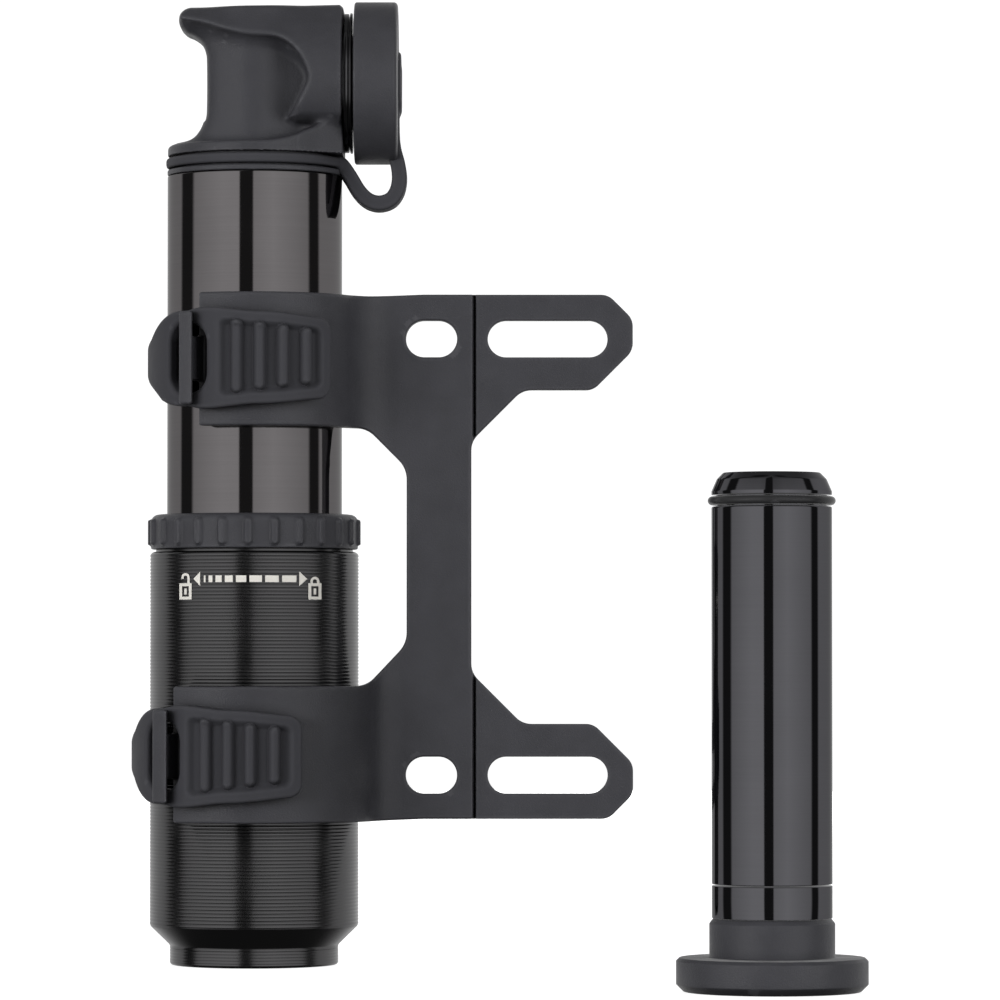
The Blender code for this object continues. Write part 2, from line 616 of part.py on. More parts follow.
def build_bracket():
    bracket = solid("bracket_frame", prism(plate_outline(), -PLATE_T, 0.0, up="Y"))
    for level, trim in ((UPPER, -1), (LOWER, 1)):
        low, high = level["z"]
        add(bracket, prism(saddle_outline(level), low, high))
        stem, bar = hook_outline(level)
        add(bracket, prism(stem, level["mid"] - HOOK_STEM_H / 2, level["mid"] + HOOK_STEM_H / 2))
        add(bracket, prism(bar, level["mid"] - HOOK_BAR_H / 2, level["mid"] + HOOK_BAR_H / 2))
        edge = low if trim < 0 else high
        brace_x = SPINE_X[0] + 1.0 * MM
        overlap = edge - trim * 1.0 * MM
        brace = [(16.8 * MM, edge), (brace_x, edge + trim * 7.2 * MM), (brace_x, overlap), (18.0 * MM, overlap)]
        add(bracket, prism(brace, -PLATE_T, -0.6 * MM, up="Y"))
        for end in (-1, 1):
            add(bracket, lug_mesh(level, end))
    step = [
        (SPINE_X[1] + 0.1 * MM, PLATE_BOTTOM - 1 * MM), (ARM_END_X + 1 * MM, PLATE_BOTTOM - 1 * MM),
        (ARM_END_X + 1 * MM, PLATE_TOP + 1 * MM), (SPINE_X[1] + 0.1 * MM, PLATE_TOP + 1 * MM),
    ]
    cut(bracket, prism(step, -PLATE_T - 1 * MM, -ARM_T, up="Y"))
    for boss in BOSS_Z:
        for span in (LONG_SLOT_X, SHORT_SLOT_X):
            cut(bracket, prism(slot_outline(span[0], span[1], boss, SLOT_W), -5 * MM, 5 * MM, up="Y"))
    reach = LUG_HALF + 3 * MM
    for level in (UPPER, LOWER):
        hole = arc(level["pin"], PIN_R + 0.2 * MM, 0, 345, 23)
        cut(bracket, prism(hole, level["mid"] - reach, level["mid"] + reach))
    shade(bracket, "composite")


def lug_mesh(level, end):
    """Ear on the back of a saddle that holds one end of the strap's pin."""
    x, y = level["pin"]
    root = (x + 3.3 * MM, y - 2.6 * MM)
    outline = arc((x, y), 2.1 * MM, 20, 215, 8) + [(x - 0.6 * MM, y - 3.6 * MM), root]
    near = level["mid"] + end * LUG_HALF
    far = near + end * LUG_T
    return prism(outline, min(near, far), max(near, far))


# ---------------------------------------------------------------- straps
def rod(radius, middle, half, at, sides=16):
    """Upright round bar about the point at, from middle - half to middle + half."""
    profile = [(0.0, middle - half), (radius, middle - half), (radius, middle + half), (0.0, middle + half)]
    return lathe(profile, centre=(at[0], at[1], 0.0), sides=sides)


def build_band(level):
    """Crowned band round the pump's back, with an eye on the pin in the saddle's lugs."""
    inner, outer = level["band_r"]
    middle = level["mid"]
    pin = level["pin"]
    crown = 2.6 * MM
    base = 6.0 * MM
    start = math.degrees(math.atan2(pin[1], pin[0])) + 2.0
    end = 174.0
    steps = 20
    bm = bmesh.new()
    sections = []
    for k in range(steps + 1):
        angle = math.radians(start + (end - start) * k / steps)
        out = Vector((math.cos(angle), math.sin(angle), 0.0))
        shape = [(inner, -base), (inner, base), (outer, crown), (outer, -crown)]
        sections.append([bm.verts.new(out * r + Vector((0.0, 0.0, middle + z))) for r, z in shape])
    for first, second in zip(sections, sections[1:]):
        for k in range(4):
            n = (k + 1) % 4
            bm.faces.new((first[k], first[n], second[n], second[k]))
    bm.faces.new(sections[0])
    bm.faces.new(list(reversed(sections[-1])))
    band = solid(f"strap_{level['name']}_band", bm)
    add(band, rod(1.9 * MM, middle, base, pin))
    cut(band, rod(PIN_R + GAP, middle, base + 3 * MM, pin))
    shade(band, "rubber")
    solid(f"strap_{level['name']}_pin", rod(PIN_R, middle, LUG_HALF + LUG_T, pin, 12), "steel")


def build_tab(level):
    """Pull tab from the hinge at the pump's left side, over the hook's bar, to its free end."""
    inner, outer = level["band_r"]
    mean = (inner + outer) / 2
    half_t = min((outer - inner) / 2, 1.1 * MM)
    middle = level["mid"]
    tab_r = level["tab_r"]
    root_h, widest_h, end_h = TAB_H
    start = 181.0
    finish = 360 - math.degrees(math.acos(level["tab_end_x"] / tab_r))
    window_at = 360 - math.degrees(math.acos(level["window_x"] / tab_r))
    climb_start = start + 3.0
    climb_end = window_at + 12.0
    widest_at = window_at + 10.0
    path = []
    widths = []
    count = 26
    for k in range(count + 1):
        angle = start + (finish - start) * k / count
        share = min(1.0, max(0.0, (angle - climb_start) / (climb_end - climb_start)))
        path.append((mean + (tab_r - mean) * share, angle, half_t))
        if angle < widest_at:
            height = root_h + (widest_h - root_h) * (angle - start) / (widest_at - start)
        else:
            height = widest_h + (end_h - widest_h) * ((angle - widest_at) / (finish - widest_at)) ** 1.5
        widths.append((middle - height / 2, middle + height / 2))
    tab = solid(f"strap_{level['name']}_tab", shell_sweep(path, widths))
    hinge = Vector((-mean, 0.0, middle))
    add(tab, rod(1.15 * MM, middle, root_h / 2 - 0.1 * MM, hinge))
    turn = math.radians(window_at)
    spot = Vector((math.cos(turn) * tab_r, math.sin(turn) * tab_r, middle))
    window = prism(window_outline(), -6 * MM, 6 * MM, up="Y")
    place = Matrix.Translation(spot) @ Matrix.Rotation(turn + math.pi / 2, 4, "Z")
    bmesh.ops.transform(window, matrix=place, verts=window.verts)
    cut(tab, window)
    shade(tab, "rubber")
    set_origin(tab, hinge)


def window_outline():
    """Rounded oval window, XZ, centred on the origin."""
    half_w, half_h = WINDOW[0] / 2, WINDOW[1] / 2
    reach = half_h - half_w
    return arc((0.0, reach), half_w, 0, 180, 8) + arc((0.0, -reach), half_w, 180, 360, 8)


def hang_on_datum():
    """Parent every solid to an empty at the pump's datum, so that the origin is on the bracket."""
    pieces = list(bpy.data.objects)
    datum = bpy.data.objects.new("pump_datum", None)
    bpy.context.collection.objects.link(datum)
    datum.location = -REFERENCE
    for piece in pieces:
        piece.parent = datum


def set_origin(thing, point):
    """Move an object's origin to a point without moving its shape."""
    thing.data.transform(Matrix.Translation(-point))
    thing.location = point


# ---------------------------------------------------------------- capsule
def build_capsule():
    at = CAPSULE_AT
    bevel = 1.0 * MM
    socket_r = 6.2 * MM
    socket_z = 7.5 * MM
    plug = [
        (0.0, 0.0), (FLANGE_R - bevel, 0.0), (FLANGE_R, bevel), (FLANGE_R, FLANGE_H - 0.4 * MM),
        (FLANGE_R - 0.4 * MM, FLANGE_H), (PLUG_COLLAR_R, FLANGE_H), (PLUG_COLLAR_R, PLUG_COLLAR_TOP - 0.6 * MM),
        (PLUG_COLLAR_R - 0.6 * MM, PLUG_COLLAR_TOP), (socket_r, PLUG_COLLAR_TOP), (socket_r, socket_z),
        (0.0, socket_z),
    ]
    solid("capsule_plug", lathe(plug, centre=at, sides=CAPSULE_ROUND), "composite", at)
    base_low = PLUG_COLLAR_TOP + GAP
    stub_r = socket_r - GAP
    thread_r = CAPSULE_BORE_R - GAP
    base = [
        (0.0, socket_z + GAP), (stub_r, socket_z + GAP), (stub_r, base_low), (CAPSULE_R, base_low),
        (CAPSULE_R, BASE_TOP), (thread_r, BASE_TOP), (thread_r, BASE_TOP + 5.5 * MM),
        (5.9 * MM, BASE_TOP + 5.5 * MM), (5.9 * MM, BASE_TOP - 2 * MM), (0.0, BASE_TOP - 2 * MM),
    ]
    solid("capsule_base", lathe(base, centre=at, sides=CAPSULE_ROUND), "anodised", at)
    land_z = 65.5 * MM
    groove_r = 7.5 * MM
    ring_h = 1.5 * MM
    nose_z = land_z + ring_h
    cap_in = 64.1 * MM
    tube = [
        (CAPSULE_BORE_R, BASE_TOP + GAP), (CAPSULE_R, BASE_TOP + GAP), (CAPSULE_R, land_z),
        (groove_r, land_z), (groove_r, nose_z), (CAPSULE_R, nose_z), (CAPSULE_R, nose_z + 0.4 * MM),
        (7.05 * MM, CAPSULE_TOP), (0.0, CAPSULE_TOP), (0.0, cap_in), (CAPSULE_BORE_R - 1 * MM, cap_in),
        (CAPSULE_BORE_R, cap_in - 1 * MM),
    ]
    solid("capsule_tube", lathe(tube, centre=at, sides=CAPSULE_ROUND), "anodised", at)
    o_ring = tube_profile(groove_r + 0.15 * MM, CAPSULE_RING_R, land_z + 0.1 * MM, nose_z - 0.1 * MM)
    solid("capsule_o_ring", lathe(o_ring, centre=at, sides=CAPSULE_ROUND), "seal", at)


clear_scene()
build_handle()
build_piston()
build_collar()
build_barrel()
build_head()
build_check_valve()
build_nozzle()
build_cap_and_tether()
build_bracket()
for LEVEL in (UPPER, LOWER):
    build_band(LEVEL)
    build_tab(LEVEL)
build_capsule()
hang_on_datum()
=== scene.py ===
"""Looks of the mini pump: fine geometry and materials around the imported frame.

Shapes are worked out in millimetres from the pump's axis at the handle's foot, and placed in metres.
Moulded parts are signed distance fields turned into meshes. Turned parts are lathed from their profiles.
"""

import math

import bpy
import numpy as np
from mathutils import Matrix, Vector


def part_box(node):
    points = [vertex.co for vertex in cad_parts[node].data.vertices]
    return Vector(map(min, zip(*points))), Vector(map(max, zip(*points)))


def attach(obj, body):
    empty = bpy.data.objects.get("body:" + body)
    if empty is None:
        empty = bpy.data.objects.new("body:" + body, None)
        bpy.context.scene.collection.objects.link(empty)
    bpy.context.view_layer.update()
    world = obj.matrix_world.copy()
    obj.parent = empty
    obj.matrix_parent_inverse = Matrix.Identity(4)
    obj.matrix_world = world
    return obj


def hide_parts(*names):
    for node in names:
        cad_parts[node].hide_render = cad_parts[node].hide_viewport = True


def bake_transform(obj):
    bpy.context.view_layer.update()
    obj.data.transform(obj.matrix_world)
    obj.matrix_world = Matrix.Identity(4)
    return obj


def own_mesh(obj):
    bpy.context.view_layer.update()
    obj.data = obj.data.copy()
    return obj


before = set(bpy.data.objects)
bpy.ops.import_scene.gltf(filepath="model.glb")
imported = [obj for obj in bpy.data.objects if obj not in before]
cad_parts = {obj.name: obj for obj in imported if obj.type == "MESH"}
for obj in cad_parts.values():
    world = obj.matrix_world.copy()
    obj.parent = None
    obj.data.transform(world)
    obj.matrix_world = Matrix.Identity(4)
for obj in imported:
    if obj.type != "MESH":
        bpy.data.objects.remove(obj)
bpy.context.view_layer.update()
MM = 0.001


# ---- the datum and sizes from the frame
def find_datum():
    """The pump's axis at the foot of the handle, in metres."""
    low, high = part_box("shaft_end_ring")
    return Vector(((low.x + high.x) / 2, (low.y + high.y) / 2, low.z))


DATUM = find_datum()


def span(node):
    """A CAD node's lowest and highest corner in millimetres from the datum."""
    low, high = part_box(node)
    return (low - DATUM) / MM, (high - DATUM) / MM


BARREL_R = span("barrel_tube")[1].x
SLEEVE_R = span("handle_sleeve")[1].x
COLLAR = span("lock_collar")
HEAD = span("pump_head")
CAP = span("dust_cap")
CAP_Z = (CAP[0].z + CAP[1].z) / 2
PLUG = span("capsule_plug")
CAPSULE_AT = ((PLUG[0].x + PLUG[1].x) / 2, (PLUG[0].y + PLUG[1].y) / 2)


# ---- meshes
def mesh_object(name, vertices, faces, sharp=None):
    """Object from vertices in millimetres about the datum and a list of face index arrays."""
    mesh = bpy.data.meshes.new(name)
    points = (np.asarray(vertices, float) * MM).astype(np.float32)
    mesh.vertices.add(len(points))
    mesh.vertices.foreach_set("co", points.ravel())
    loops = np.concatenate([f.ravel() for f in faces]).astype(np.int32)
    sizes = np.concatenate([np.full(len(f), f.shape[1]) for f in faces]).astype(np.int32)
    mesh.loops.add(len(loops))
    mesh.loops.foreach_set("vertex_index", loops)
    mesh.polygons.add(len(sizes))
    starts = np.concatenate([[0], np.cumsum(sizes)[:-1]]).astype(np.int32)
    mesh.polygons.foreach_set("loop_start", starts)
    mesh.update(calc_edges=True)
    mesh.validate()
    mesh.shade_smooth()
    if sharp:
        mesh.set_sharp_from_angle(angle=math.radians(sharp))
    made = bpy.data.objects.new(name, mesh)
    made.location = DATUM
    bpy.context.scene.collection.objects.link(made)
    return made


def lathe(name, profile, axis="Z", centre=(0.0, 0.0, 0.0), sides=160, sharp=40):
    """Revolve a counter-clockwise (radius, height) outline. Points at radius 0 close it on the axis."""
    profile = [tuple(p) for p in profile]
    open_ended = profile[0][0] == 0.0
    angles = 2 * np.pi * np.arange(sides) / sides
    rows = []
    vertices = []
    for radius, height in profile:
        if radius == 0.0:
            rows.append(np.full(sides, len(vertices)))
            vertices.append((0.0, 0.0, height))
            continue
        rows.append(np.arange(sides) + len(vertices))
        ring = np.stack([radius * np.cos(angles), radius * np.sin(angles), np.full(sides, height)], 1)
        vertices.extend(map(tuple, ring))
    quads, triangles = [], []
    following = np.roll(np.arange(sides), -1)
    pairs = list(zip(rows, rows[1:]))
    if not open_ended:
        pairs.append((rows[-1], rows[0]))
    for first, second in pairs:
        if first[0] == first[1]:
            triangles.append(np.stack([first, second[following], second], 1))
        elif second[0] == second[1]:
            triangles.append(np.stack([first, first[following], second], 1))
        else:
            quads.append(np.stack([first, first[following], second[following], second], 1))
    points = np.array(vertices)
    if axis == "X":
        points = np.stack([points[:, 2], points[:, 0], points[:, 1]], 1)
    points += np.array(centre)
    faces = [np.concatenate(group) for group in (quads, triangles) if group]
    return mesh_object(name, points, faces, sharp)


def arc(centre, radius, start, end, steps):
    """Points on an arc in the plane, angles in degrees."""
    return [(centre[0] + radius * math.cos(math.radians(start + (end - start) * k / steps)),
             centre[1] + radius * math.sin(math.radians(start + (end - start) * k / steps)))
            for k in range(steps + 1)]


def round_corners(corners, steps=6):
    """Closed outline from (a, b, radius) corners, each rounded by an arc of its radius."""
    outline = []
    count = len(corners)
    for k, (a, b, radius) in enumerate(corners):
        here = np.array([a, b], float)
        if radius <= 0:
            outline.append((a, b))
            continue
        back = np.array(corners[k - 1][:2], float) - here
        ahead = np.array(corners[(k + 1) % count][:2], float) - here
        u, v = back / np.linalg.norm(back), ahead / np.linalg.norm(ahead)
        half = math.acos(np.clip(u @ v, -1, 1)) / 2
        reach = radius / math.tan(half)
        middle = here + (u + v) / np.linalg.norm(u + v) * radius / math.sin(half)
        first, last = here + u * reach - middle, here + v * reach - middle
        start, end = math.atan2(first[1], first[0]), math.atan2(last[1], last[0])
        turn = (end - start + math.pi) % (2 * math.pi) - math.pi
        for s in range(steps + 1):
            angle = start + turn * s / steps
            outline.append((middle[0] + radius * math.cos(angle), middle[1] + radius * math.sin(angle)))
    return outline


# ---- signed distance fields
def smooth_min(a, b, k):
    h = np.clip(0.5 + 0.5 * (b - a) / k, 0.0, 1.0)
    return b * (1 - h) + a * h - k * h * (1 - h)


def smooth_max(a, b, k):
    return -smooth_min(-a, -b, k)


def both(a, b, edge):
    """Overlap of two fields, with a rounded outer edge where they meet."""
    p, q = a + edge, b + edge
    return np.hypot(np.maximum(p, 0), np.maximum(q, 0)) + np.minimum(np.maximum(p, q), 0) - edge


def ease(value, low, high):
    t = np.clip((value - low) / (high - low), 0, 1)
    return t * t * (3 - 2 * t)


def path_distance(a, b, path):
    """Distance to an open path in the plane of the coordinates a and b."""
    best = np.full(np.broadcast(a, b).shape, 1e9)
    for p, q in zip(path, path[1:]):
        e = q - p
        length = e @ e
        if length > 1e-12:
            t = np.clip(((a - p[0]) * e[0] + (b - p[1]) * e[1]) / length, 0, 1)
            best = np.minimum(best, (a - p[0] - e[0] * t) ** 2 + (b - p[1] - e[1] * t) ** 2)
    return np.sqrt(best)


def polygon_field(a, b, outline):
    """Signed distance to a closed outline in the plane, negative inside."""
    points = np.array([*outline, outline[0]], float)
    distance = path_distance(a, b, points)
    inside = np.zeros(distance.shape, bool)
    for p, q in zip(points, points[1:]):
        if p[1] != q[1]:
            inside ^= ((p[1] > b) != (q[1] > b)) & (a - p[0] < (q[0] - p[0]) * (b - p[1]) / (q[1] - p[1]))
    return np.where(inside, -1, 1) * distance


CORNERS = [(i, j, k) for i in (0, 1) for j in (0, 1) for k in (0, 1)]
EDGES = [(p, q) for p in CORNERS for q in CORNERS
         if sum(q) - sum(p) == 1 and all(b >= a for a, b in zip(p, q))]


def net_mesh(name, field, low, high, step):
    """Mesh of a field's zero surface inside a box, with one vertex in each crossed cell."""
    axes = [np.arange(a - step, b + 2 * step, step) for a, b in zip(low, high)]
    grid = np.meshgrid(*axes, indexing="ij", sparse=True)
    shape = tuple(len(a) for a in axes)
    values = np.ascontiguousarray(np.broadcast_to(field(*grid), shape)).astype(np.float32)
    inside = values < 0
    total = np.zeros([n - 1 for n in shape], np.int8)
    for i, j, k in CORNERS:
        total += inside[i:shape[0] - 1 + i, j:shape[1] - 1 + j, k:shape[2] - 1 + k]
    cells = np.argwhere((total > 0) & (total < 8))
    index = np.full(total.shape, -1, np.int32)
    index[tuple(cells.T)] = np.arange(len(cells))
    where = np.zeros((len(cells), 3))
    count = np.zeros(len(cells))
    for p, q in EDGES:
        a = values[tuple((cells + p).T)].astype(float)
        b = values[tuple((cells + q).T)].astype(float)
        hit = (a < 0) != (b < 0)
        t = np.where(hit, a / np.where(hit, a - b, 1), 0)
        where += np.where(hit[:, None], np.array(p) + t[:, None] * (np.array(q) - np.array(p)), 0)
        count += hit
    points = np.array([a[0] for a in axes]) + (cells + where / count[:, None]) * step
    quads = []
    for axis in range(3):
        u, v = [(1, 2), (2, 0), (0, 1)][axis]
        near = [slice(1, n - 1) for n in shape]
        far = list(near)
        near[axis], far[axis] = slice(0, shape[axis] - 1), slice(1, shape[axis])
        first, second = inside[tuple(near)], inside[tuple(far)]
        at = np.argwhere(first != second)
        flip = ~first[tuple(at.T)]
        at = at + np.array([0 if a == axis else 1 for a in range(3)])
        ring = []
        for du, dv in ((-1, -1), (0, -1), (0, 0), (-1, 0)):
            shift = np.zeros(3, int)
            shift[u], shift[v] = du, dv
            ring.append(index[tuple((at + shift).T)])
        quad = np.stack(ring, 1)
        quad[flip] = quad[flip][:, ::-1]
        quads.append(quad)
    # pull the vertices onto the surface, then take the normals from the field
    for _ in range(3):
        x, y, z = points.T
        d = field(x, y, z)
        h = 0.02
        slope = np.stack([field(x + h, y, z) - d, field(x, y + h, z) - d, field(x, y, z + h) - d], 1) / h
        squared = np.maximum((slope ** 2).sum(1), 0.2)
        points = points - np.clip(d / squared, -0.5 * step, 0.5 * step)[:, None] * slope
    made = mesh_object(name, points, [np.concatenate(quads)])
    x, y, z = points.T
    h = 0.04
    slope = np.stack([field(x + h, y, z) - field(x - h, y, z), field(x, y + h, z) - field(x, y - h, z),
                      field(x, y, z + h) - field(x, y, z - h)], 1)
    slope /= np.maximum(np.linalg.norm(slope, axis=1), 1e-9)[:, None]
    made.data.normals_split_custom_set_from_vertices(slope)
    return made


# ---- material tools
class Nodes:
    """Short names for building a node tree."""

    def __init__(self, tree):
        self.tree = tree

    def add(self, kind, **settings):
        node = self.tree.nodes.new(kind)
        for key, value in settings.items():
            setattr(node, key, value)
        return node

    def wire(self, value, socket):
        if isinstance(value, bpy.types.NodeSocket):
            self.tree.links.new(value, socket)
        else:
            socket.default_value = value

    def fill(self, node, values):
        """Wire or set inputs of a node by name."""
        for key, value in values.items():
            self.wire(value, node.inputs[key])

    def math(self, operation, a, b=0.0):
        node = self.add("ShaderNodeMath", operation=operation)
        for value, socket in zip((a, b), node.inputs):
            self.wire(value, socket)
        return node.outputs[0]

    def mix(self, factor, a, b):
        node = self.add("ShaderNodeMix", data_type="RGBA")
        self.fill(node, {"Factor": factor, "A": a, "B": b})
        return node.outputs["Result"]

    def noise(self, vector, scale, detail=2.0, roughness=0.5):
        node = self.add("ShaderNodeTexNoise")
        self.fill(node, {"Vector": vector, "Scale": scale, "Detail": detail, "Roughness": roughness})
        return node.outputs["Fac"]

    def stretch(self, vector, scale):
        node = self.add("ShaderNodeMapping")
        self.fill(node, {"Vector": vector, "Scale": scale})
        return node.outputs["Vector"]

    def ramp(self, value, low, high, to_low, to_high, kind="LINEAR"):
        node = self.add("ShaderNodeMapRange", interpolation_type=kind)
        self.fill(node, {"Value": value, "From Min": low, "From Max": high})
        self.fill(node, {"To Min": to_low, "To Max": to_high})
        return node.outputs["Result"]

    def bump(self, height, distance):
        node = self.add("ShaderNodeBump")
        self.fill(node, {"Height": height, "Distance": distance, "Strength": 1.0})
        return node.outputs["Normal"]


def shades(colour, dark, light):
    """A darker and a lighter version of a colour, with alpha."""
    return (*[c * dark for c in colour], 1), (*[c * light for c in colour], 1)


def painted_shade_and_highlight(t, colour):
    """Colour with painted shade darkening its crevices and a painted highlight paling its sharp edges."""
    # painted shade: ambient occlusion over 1.8 mm finds the crevices where the colour is darkened
    hollow = t.add("ShaderNodeAmbientOcclusion", samples=4)
    t.fill(hollow, {"Distance": 0.0018})
    # painted highlight: pointiness finds the sharp edges where the colour is paled
    painted_edge_highlight = t.ramp(t.add("ShaderNodeNewGeometry").outputs["Pointiness"], 0.50, 0.58, 0.0, 0.35)
    depth = t.ramp(hollow.outputs["AO"], 0.30, 0.95, 0.72, 0.0)
    # painted shade mixes near black into the crevices, then a painted highlight mixes pale grey onto the
    # edges
    return t.mix(painted_edge_highlight, t.mix(depth, colour, (0.004, 0.004, 0.0045, 1)), (0.07, 0.07, 0.076, 1))


def new_material(name):
    made = bpy.data.materials.new(name)
    made.use_nodes = True
    tools = Nodes(made.node_tree)
    shader = made.node_tree.nodes["Principled BSDF"]
    place = tools.add("ShaderNodeTexCoord").outputs["Object"]
    return made, tools, shader, place


def anodised(name, tint, gloss, rim):
    """Black anodising that mirrors the studio dimly, with fine turned lines and smudges."""
    made, t, shader, place = new_material(name)
    smudge = t.noise(place, 120.0, 3.0)
    lines = t.noise(t.stretch(place, (40.0, 40.0, 5000.0)), 1.0, 2.0)
    shade = t.math("ADD", t.math("MULTIPLY", smudge, 0.5), t.math("MULTIPLY", lines, 0.5))
    t.fill(shader, {
        "Metallic": 1.0,
        "Specular Tint": (rim, rim, rim, 1.0),
        "Base Color": t.mix(shade, *shades(tint, 0.86, 1.12)),
        "Roughness": t.ramp(smudge, 0.3, 0.7, gloss * 0.8, gloss * 1.25),
        "Normal": t.bump(lines, 0.000004),
    })
    return made


def composite(name, colour, grain, roughness):
    """Glass-filled moulded plastic with a fine leathery grain and tiny pale flecks."""
    made, t, shader, place = new_material(name)
    coarse = t.noise(place, 260.0, 3.0)
    fine = t.noise(place, 3600.0, 2.0, 0.6)
    pores = t.noise(place, 9000.0, 1.0)
    fleck = t.ramp(pores, 0.66, 0.74, 0.0, 1.0)
    pale = tuple(c * 1.9 + 0.01 for c in colour)
    base = t.mix(coarse, *shades(colour, 0.84, 1.18))
    speckled = t.mix(t.math("MULTIPLY", fleck, 0.35), base, (*pale, 1))
    height = t.math("ADD", fine, t.math("MULTIPLY", pores, 0.5))
    t.fill(shader, {
        # base colour carries painted shade in the crevices and a painted highlight on the sharp edges
        "Base Color": painted_shade_and_highlight(t, speckled),
        "Roughness": t.ramp(coarse, 0.3, 0.7, roughness - 0.05, roughness + 0.07),
        "Specular IOR Level": 0.30,
        "Normal": t.bump(height, grain),
    })
    return made


def rubber(name, colour, roughness):
    """Moulded silicone rubber, smooth and soft, with a little bloom."""
    made, t, shader, place = new_material(name)
    bloom = t.noise(place, 180.0, 4.0, 0.6)
    fine = t.noise(place, 5200.0, 2.0)
    t.fill(shader, {
        # base colour carries painted shade in the crevices and a painted highlight on the sharp edges
        "Base Color": painted_shade_and_highlight(t, t.mix(bloom, *shades(colour, 0.85, 1.2))),
        "Roughness": t.ramp(bloom, 0.3, 0.7, roughness - 0.06, roughness + 0.08),
        "Specular IOR Level": 0.22,
        "Normal": t.bump(fine, 0.000014),
    })
    return made


def metal(name, colour, roughness):
    """Bare turned metal with fine rings from the tool."""
    made, t, shader, place = new_material(name)
    rings = t.noise(t.stretch(place, (30.0, 30.0, 6000.0)), 1.0, 2.0)
    haze = t.noise(place, 300.0, 3.0)
    t.fill(shader, {
        "Metallic": 1.0,
        "Base Color": t.mix(haze, *shades(colour, 0.9, 1.0)),
        "Roughness": t.ramp(rings, 0.3, 0.7, roughness * 0.8, roughness * 1.3),
        "Normal": t.bump(rings, 0.000003),
    })
    return made


def etched_print(name):
    """Laser-etched marks: pale, slightly warm, grainy."""
    made, t, shader, place = new_material(name)
    grain = t.noise(place, 9000.0, 2.0)
    marks = t.mix(grain, (0.52, 0.50, 0.46, 1), (0.72, 0.70, 0.65, 1))
    t.fill(shader, {"Base Color": marks, "Roughness": 0.55, "Metallic": 0.2})
    return made


BLACK_GLOSS = anodised("black_gloss_anodising", (0.160, 0.151, 0.154), 0.055, 0.70)
BLACK_RIBBED = anodised("ribbed_anodising", (0.098, 0.097, 0.099), 0.20, 1.0)
CAPSULE_BLACK = anodised("capsule_anodising", (0.108, 0.107, 0.116), 0.05, 0.60)
CHUCK_BLACK = anodised("chuck_black", (0.090, 0.090, 0.094), 0.12, 0.60)
CHARCOAL = composite("charcoal_composite", (0.0305, 0.0305, 0.0345), 0.00005, 0.36)
SOFT_RUBBER = rubber("black_rubber", (0.0305, 0.0305, 0.0345), 0.62)
SEAL_RUBBER = rubber("seal_rubber", (0.012, 0.012, 0.012), 0.28)
BRIGHT = metal("clear_alloy", (0.62, 0.62, 0.64), 0.22)
STEEL = metal("spring_steel", (0.5, 0.5, 0.52), 0.25)
ETCH = etched_print("etched_marks")


def dress(piece, material, body, *nodes):
    """Give a piece its material and body, and hide the CAD nodes that it stands for.

    The capsule stays out of reflections, or the pump's gloss would show it as a dark stripe.
    """
    piece.visible_glossy = not (body or "").startswith("capsule")
    piece.data.materials.append(material)
    if body:
        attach(piece, body)
    if nodes:
        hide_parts(*nodes)


def turned(name, profile, material, body, *nodes, **shape):
    """Lathed piece with its material and body."""
    dress(lathe(name, profile, **shape), material, body, *nodes)


# ---- handle
RIB_PITCH, RIB_DEPTH = 0.514, 0.08
END_RIB_PITCH, END_RIB_DEPTH = 0.45, 0.05
# one rib: share of the pitch, and how deep the side lies there as a share of the groove's depth
RIB_SHAPE = ((0.0, 1.0), (0.10, 0.75), (0.22, 0.2), (0.5, 0.0), (0.78, 0.2), (0.90, 0.75))
SHAFT_GAP = 0.25


def ribbed_side(radius, low, high, pitch, depth):
    """Side of a turned piece from low to high: round crests with narrow grooves between them."""
    count = max(1, round((high - low) / pitch))
    pitch = (high - low) / count
    points = []
    for k in range(count):
        base = low + k * pitch
        for share, level in RIB_SHAPE:
            points.append((radius - depth * level, base + share * pitch))
    points.append((radius - depth, high))
    return points


def build_handle():
    """Ribbed sleeve with a sloping shoulder, the end ring below it and the hollow shaft inside."""
    low, high = span("handle_sleeve")
    shaft_top = span("hollow_shaft")[1]
    foot, top = low.z, high.z
    neck_z, shoulder, floor = foot + 0.35, foot + 3.25, foot + 2.2
    neck_r = span("shaft_end_ring")[1].x + 0.05
    lip, bore = top + 0.36, SLEEVE_R - 1.9
    hole = shaft_top.x + SHAFT_GAP
    profile = [(hole, foot), (neck_r, foot), (neck_r, neck_z), (neck_r + 0.12, neck_z + 0.2)]
    profile += [(SLEEVE_R - 0.30, shoulder - 0.22), (SLEEVE_R - 0.10, shoulder)]
    profile += ribbed_side(SLEEVE_R, shoulder + 0.15, top - 0.3, RIB_PITCH, RIB_DEPTH)
    profile += [(SLEEVE_R - 0.25, top - 0.12), (SLEEVE_R - 0.45, top), (SLEEVE_R - 0.8, top)]
    profile += [(SLEEVE_R - 0.85, lip), (bore, lip), (bore, floor), (hole, floor)]
    turned("handle_sleeve_ribbed", profile, BLACK_RIBBED, "handle", "handle_sleeve", sides=192, sharp=60)

    fillet, base, split = 0.5, 0.02, 1.2
    corner = round_corners([
        (hole, base, 0.2), (neck_r, base, fillet), (neck_r, split, 0), (hole, split, 0)], 8)
    side = ribbed_side(neck_r, fillet + 0.1, foot - 0.12, END_RIB_PITCH, END_RIB_DEPTH)
    profile = corner[:-2] + side + [(neck_r - 0.12, foot + 0.02), (hole, foot + 0.02)]
    turned("end_ring_ribbed", profile, BLACK_RIBBED, "handle", "shaft_end_ring", sides=192, sharp=60)

    base, bore = 0.05, shaft_top.x - 0.8
    profile = round_corners([(bore, base, 0.2), (shaft_top.x, base, 0.2), (shaft_top.x, shaft_top.z, 0.1),
                             (bore, shaft_top.z, 0.1)], 3)
    turned("shaft_tube_fine", profile, BRIGHT, "handle", "hollow_shaft", sides=128)


